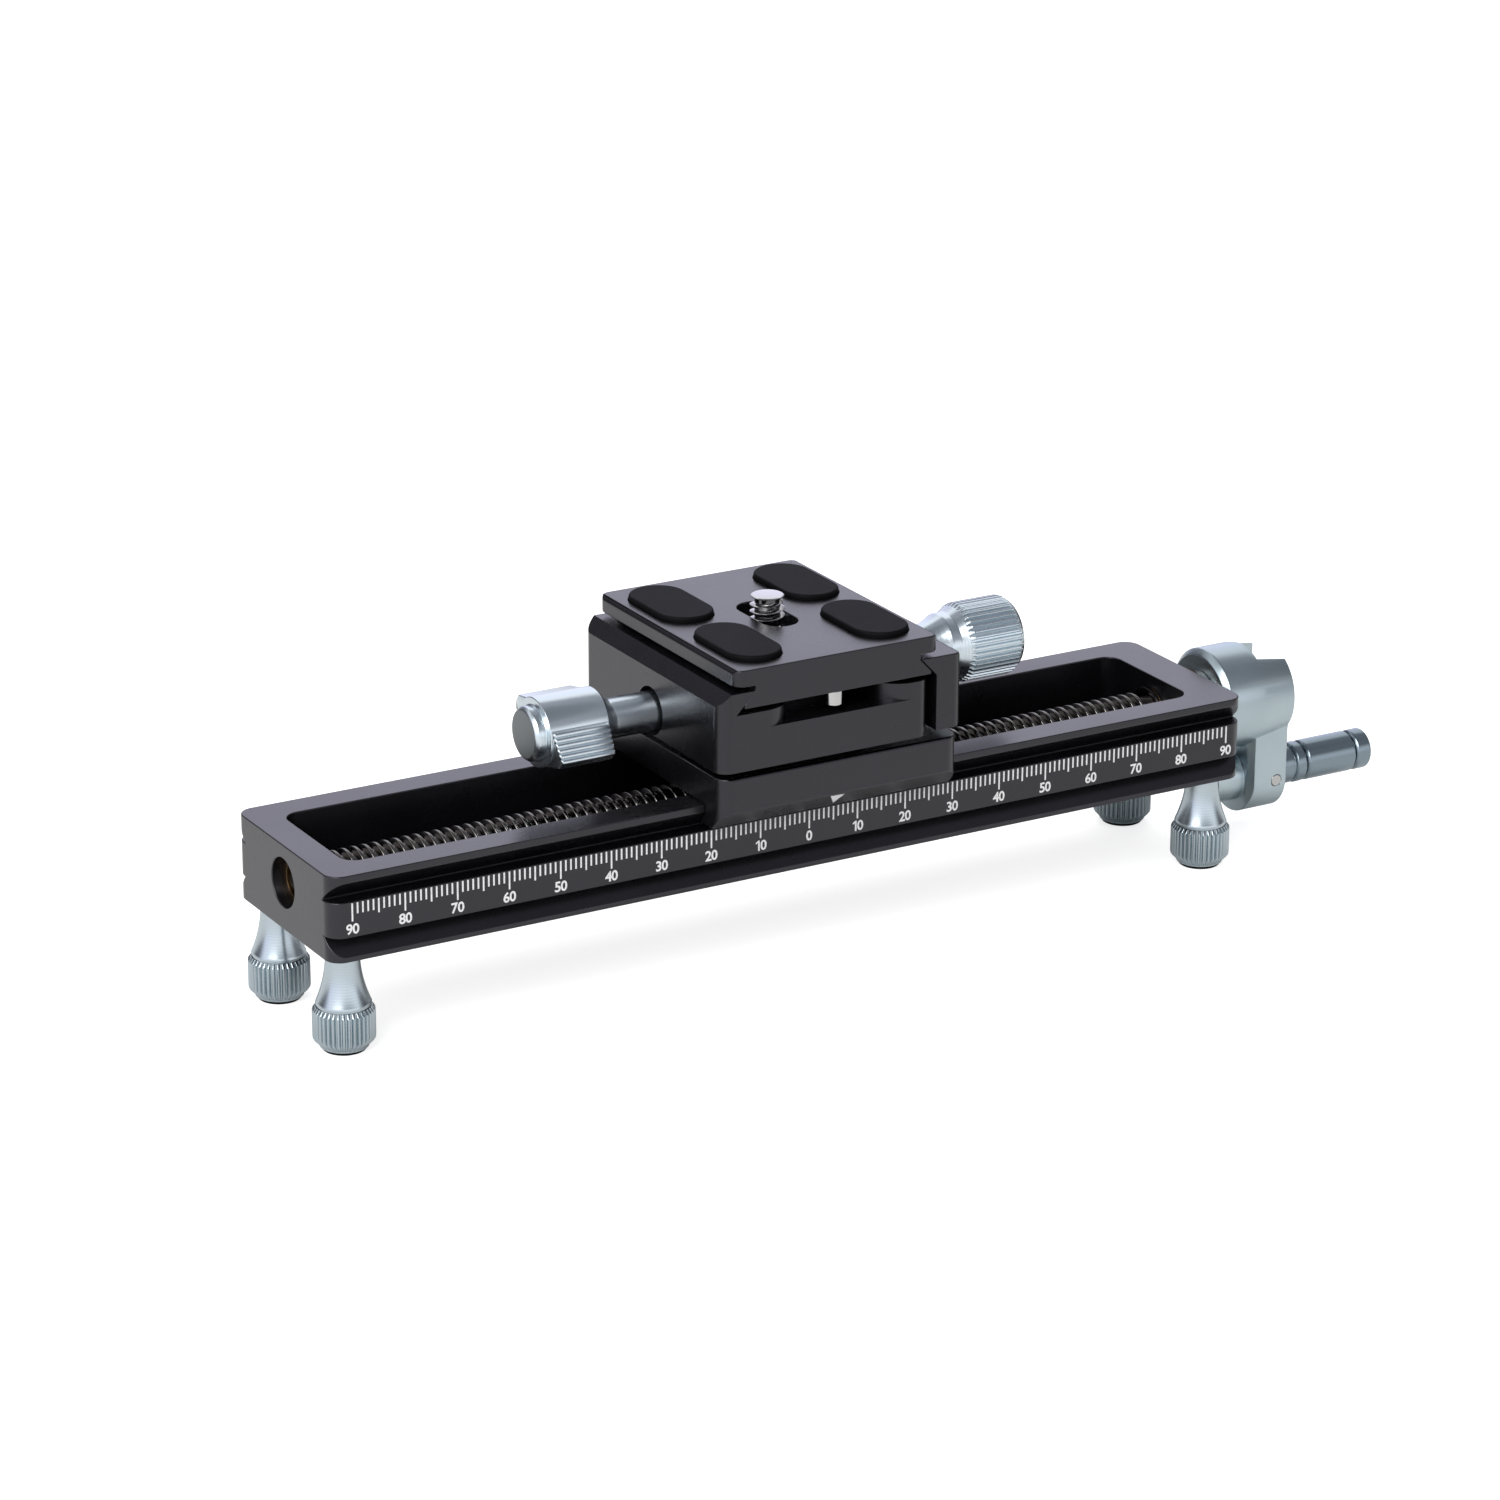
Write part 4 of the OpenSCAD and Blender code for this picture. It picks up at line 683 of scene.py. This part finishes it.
# ---------------------------------------------------------------------------------------------
# Release plate: milled aluminium, anodised black, with four rubber pads set in pockets. Two steel
# screws under its ends stop it in the clamp's channels.

dress("release_plate", black_anodised, 0.25)
dress("stop_screws", upright_steel, 0.2)
dress("camera_clip", upright_steel, 0.1)

rubber = new_material("moulded_black_rubber")
place = add_node(rubber, "ShaderNodeTexCoord").outputs["Object"]
# The mould is spark eroded: a soft leathery tooth, drawn 0.4 mm across
tooth_noise = add_node(rubber, "ShaderNodeTexNoise", {},
                       {"Vector": place, "Scale": 1 / (0.4 * mm), "Detail": 3, "Roughness": 0.65})
# Handling leaves faint grey patches, 3 mm across
dust = add_node(rubber, "ShaderNodeTexNoise", {},
                {"Vector": place, "Scale": 1 / (3 * mm), "Detail": 5})
tone = add_node(rubber, "ShaderNodeValToRGB", {}, {"Fac": dust.outputs[0]})
tone.color_ramp.elements[0].position = 0.35
tone.color_ramp.elements[0].color = srgb("#08080a")
tone.color_ramp.elements[1].position = 0.75
tone.color_ramp.elements[1].color = srgb("#0d0d10")
tooth_bump = add_node(rubber, "ShaderNodeBump", {},
                      {"Strength": 0.6, "Distance": 0.03 * mm, "Height": tooth_noise.outputs[0]})
soft = add_node(rubber, "ShaderNodeBsdfPrincipled", {}, {
    "Base Color": tone.outputs[0], "Roughness": 0.62, "Specular IOR Level": 0.12,
    "Normal": tooth_bump.outputs[0]})
add_node(rubber, "ShaderNodeOutputMaterial", {}, {"Surface": soft.outputs[0]})
dress("plate_pads", rubber, 0.45, 4)

# Camera screw: a stainless quarter inch screw, 20 threads to the inch, in the plate's slot
screw_x = 2.25
pitch = 25.4 / 20
thread_form = [(0.0, 2.35), (0.2, 2.35), (0.44, 3.1), (0.5, 3.175), (0.56, 3.1), (0.8, 2.35)]
head = [(34.95, 4.6), (34.95, 4.9), (35.05, 5), (37.25, 5), (37.35, 4.9), (37.35, 2.7),
        (39.75, 2.7), (39.83, 2.35)]
tip = [(44.95, 2.35), (45.02, 2.8), (45.12, 2.98), (45.24, 2.98), (45.34, 2.85), (45.4, 2.6),
       (45.4, 0.4)]
points, faces = threaded("Z", (screw_x, 0), start=39.85, pitch=pitch, turns=3, section=thread_form,
                         before=head, after=tip, sides=48)
make_piece("camera_screw_threaded", points, faces, upright_steel, "camera",
           ["camera_screw"], sharp=42)

# ---------------------------------------------------------------------------------------------
# Feet: four thumb screws under the rail's corners, turned with a flared waist, straight knurled
# with 36 teeth, chamfered below and anodised grey. Each stands on a black rubber sole.

upright_grey = machined("grey_anodised_turned_feet", "#c6d2d8", 0.25, "Z", 0.5, 0.0006)
foot_x, foot_y, foot_r = 89.2, 13, 5.5
angles, tooth = straight_knurl(foot_r, depth=0.6, count=36)
foot_profile = ([(6.5, 0.3), (6.5, 1.4), (-0.1, 1.4), (-0.1, 2.9)]
                + [(-0.2 - 9.3 * t, 3 + 1.88 * t ** 2.1) for t in [i / 24 for i in range(25)]]
                + [(-9.62, 4.88), (-9.75, 4.7), (-9.95, 4.7), (-10.1, 4.88), (-10.8, foot_r),
                   (-16.0, foot_r), (-17.2, 4.35), (-17.5, 4.3), (-17.5, 3.95), (-16.05, 3.95),
                   (-16.0, 0.3)])
for name, x, y in (("front_left", -1, -1), ("front_right", 1, -1),
                   ("back_left", -1, 1), ("back_right", 1, 1)):
    points, faces = turned("Z", (x * foot_x, y * foot_y), foot_profile, angles, tooth)
    body = "foot_" + name[0] + name.split("_")[1][0]
    make_piece("thumb_foot_" + name, points, faces, upright_grey, body,
               ["foot_" + name], sharp=32)
    dress("sole_" + name, rubber, 0.35, 3)

# ---------------------------------------------------------------------------------------------
# Size: the dressed model's box, in metres.

low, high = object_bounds()
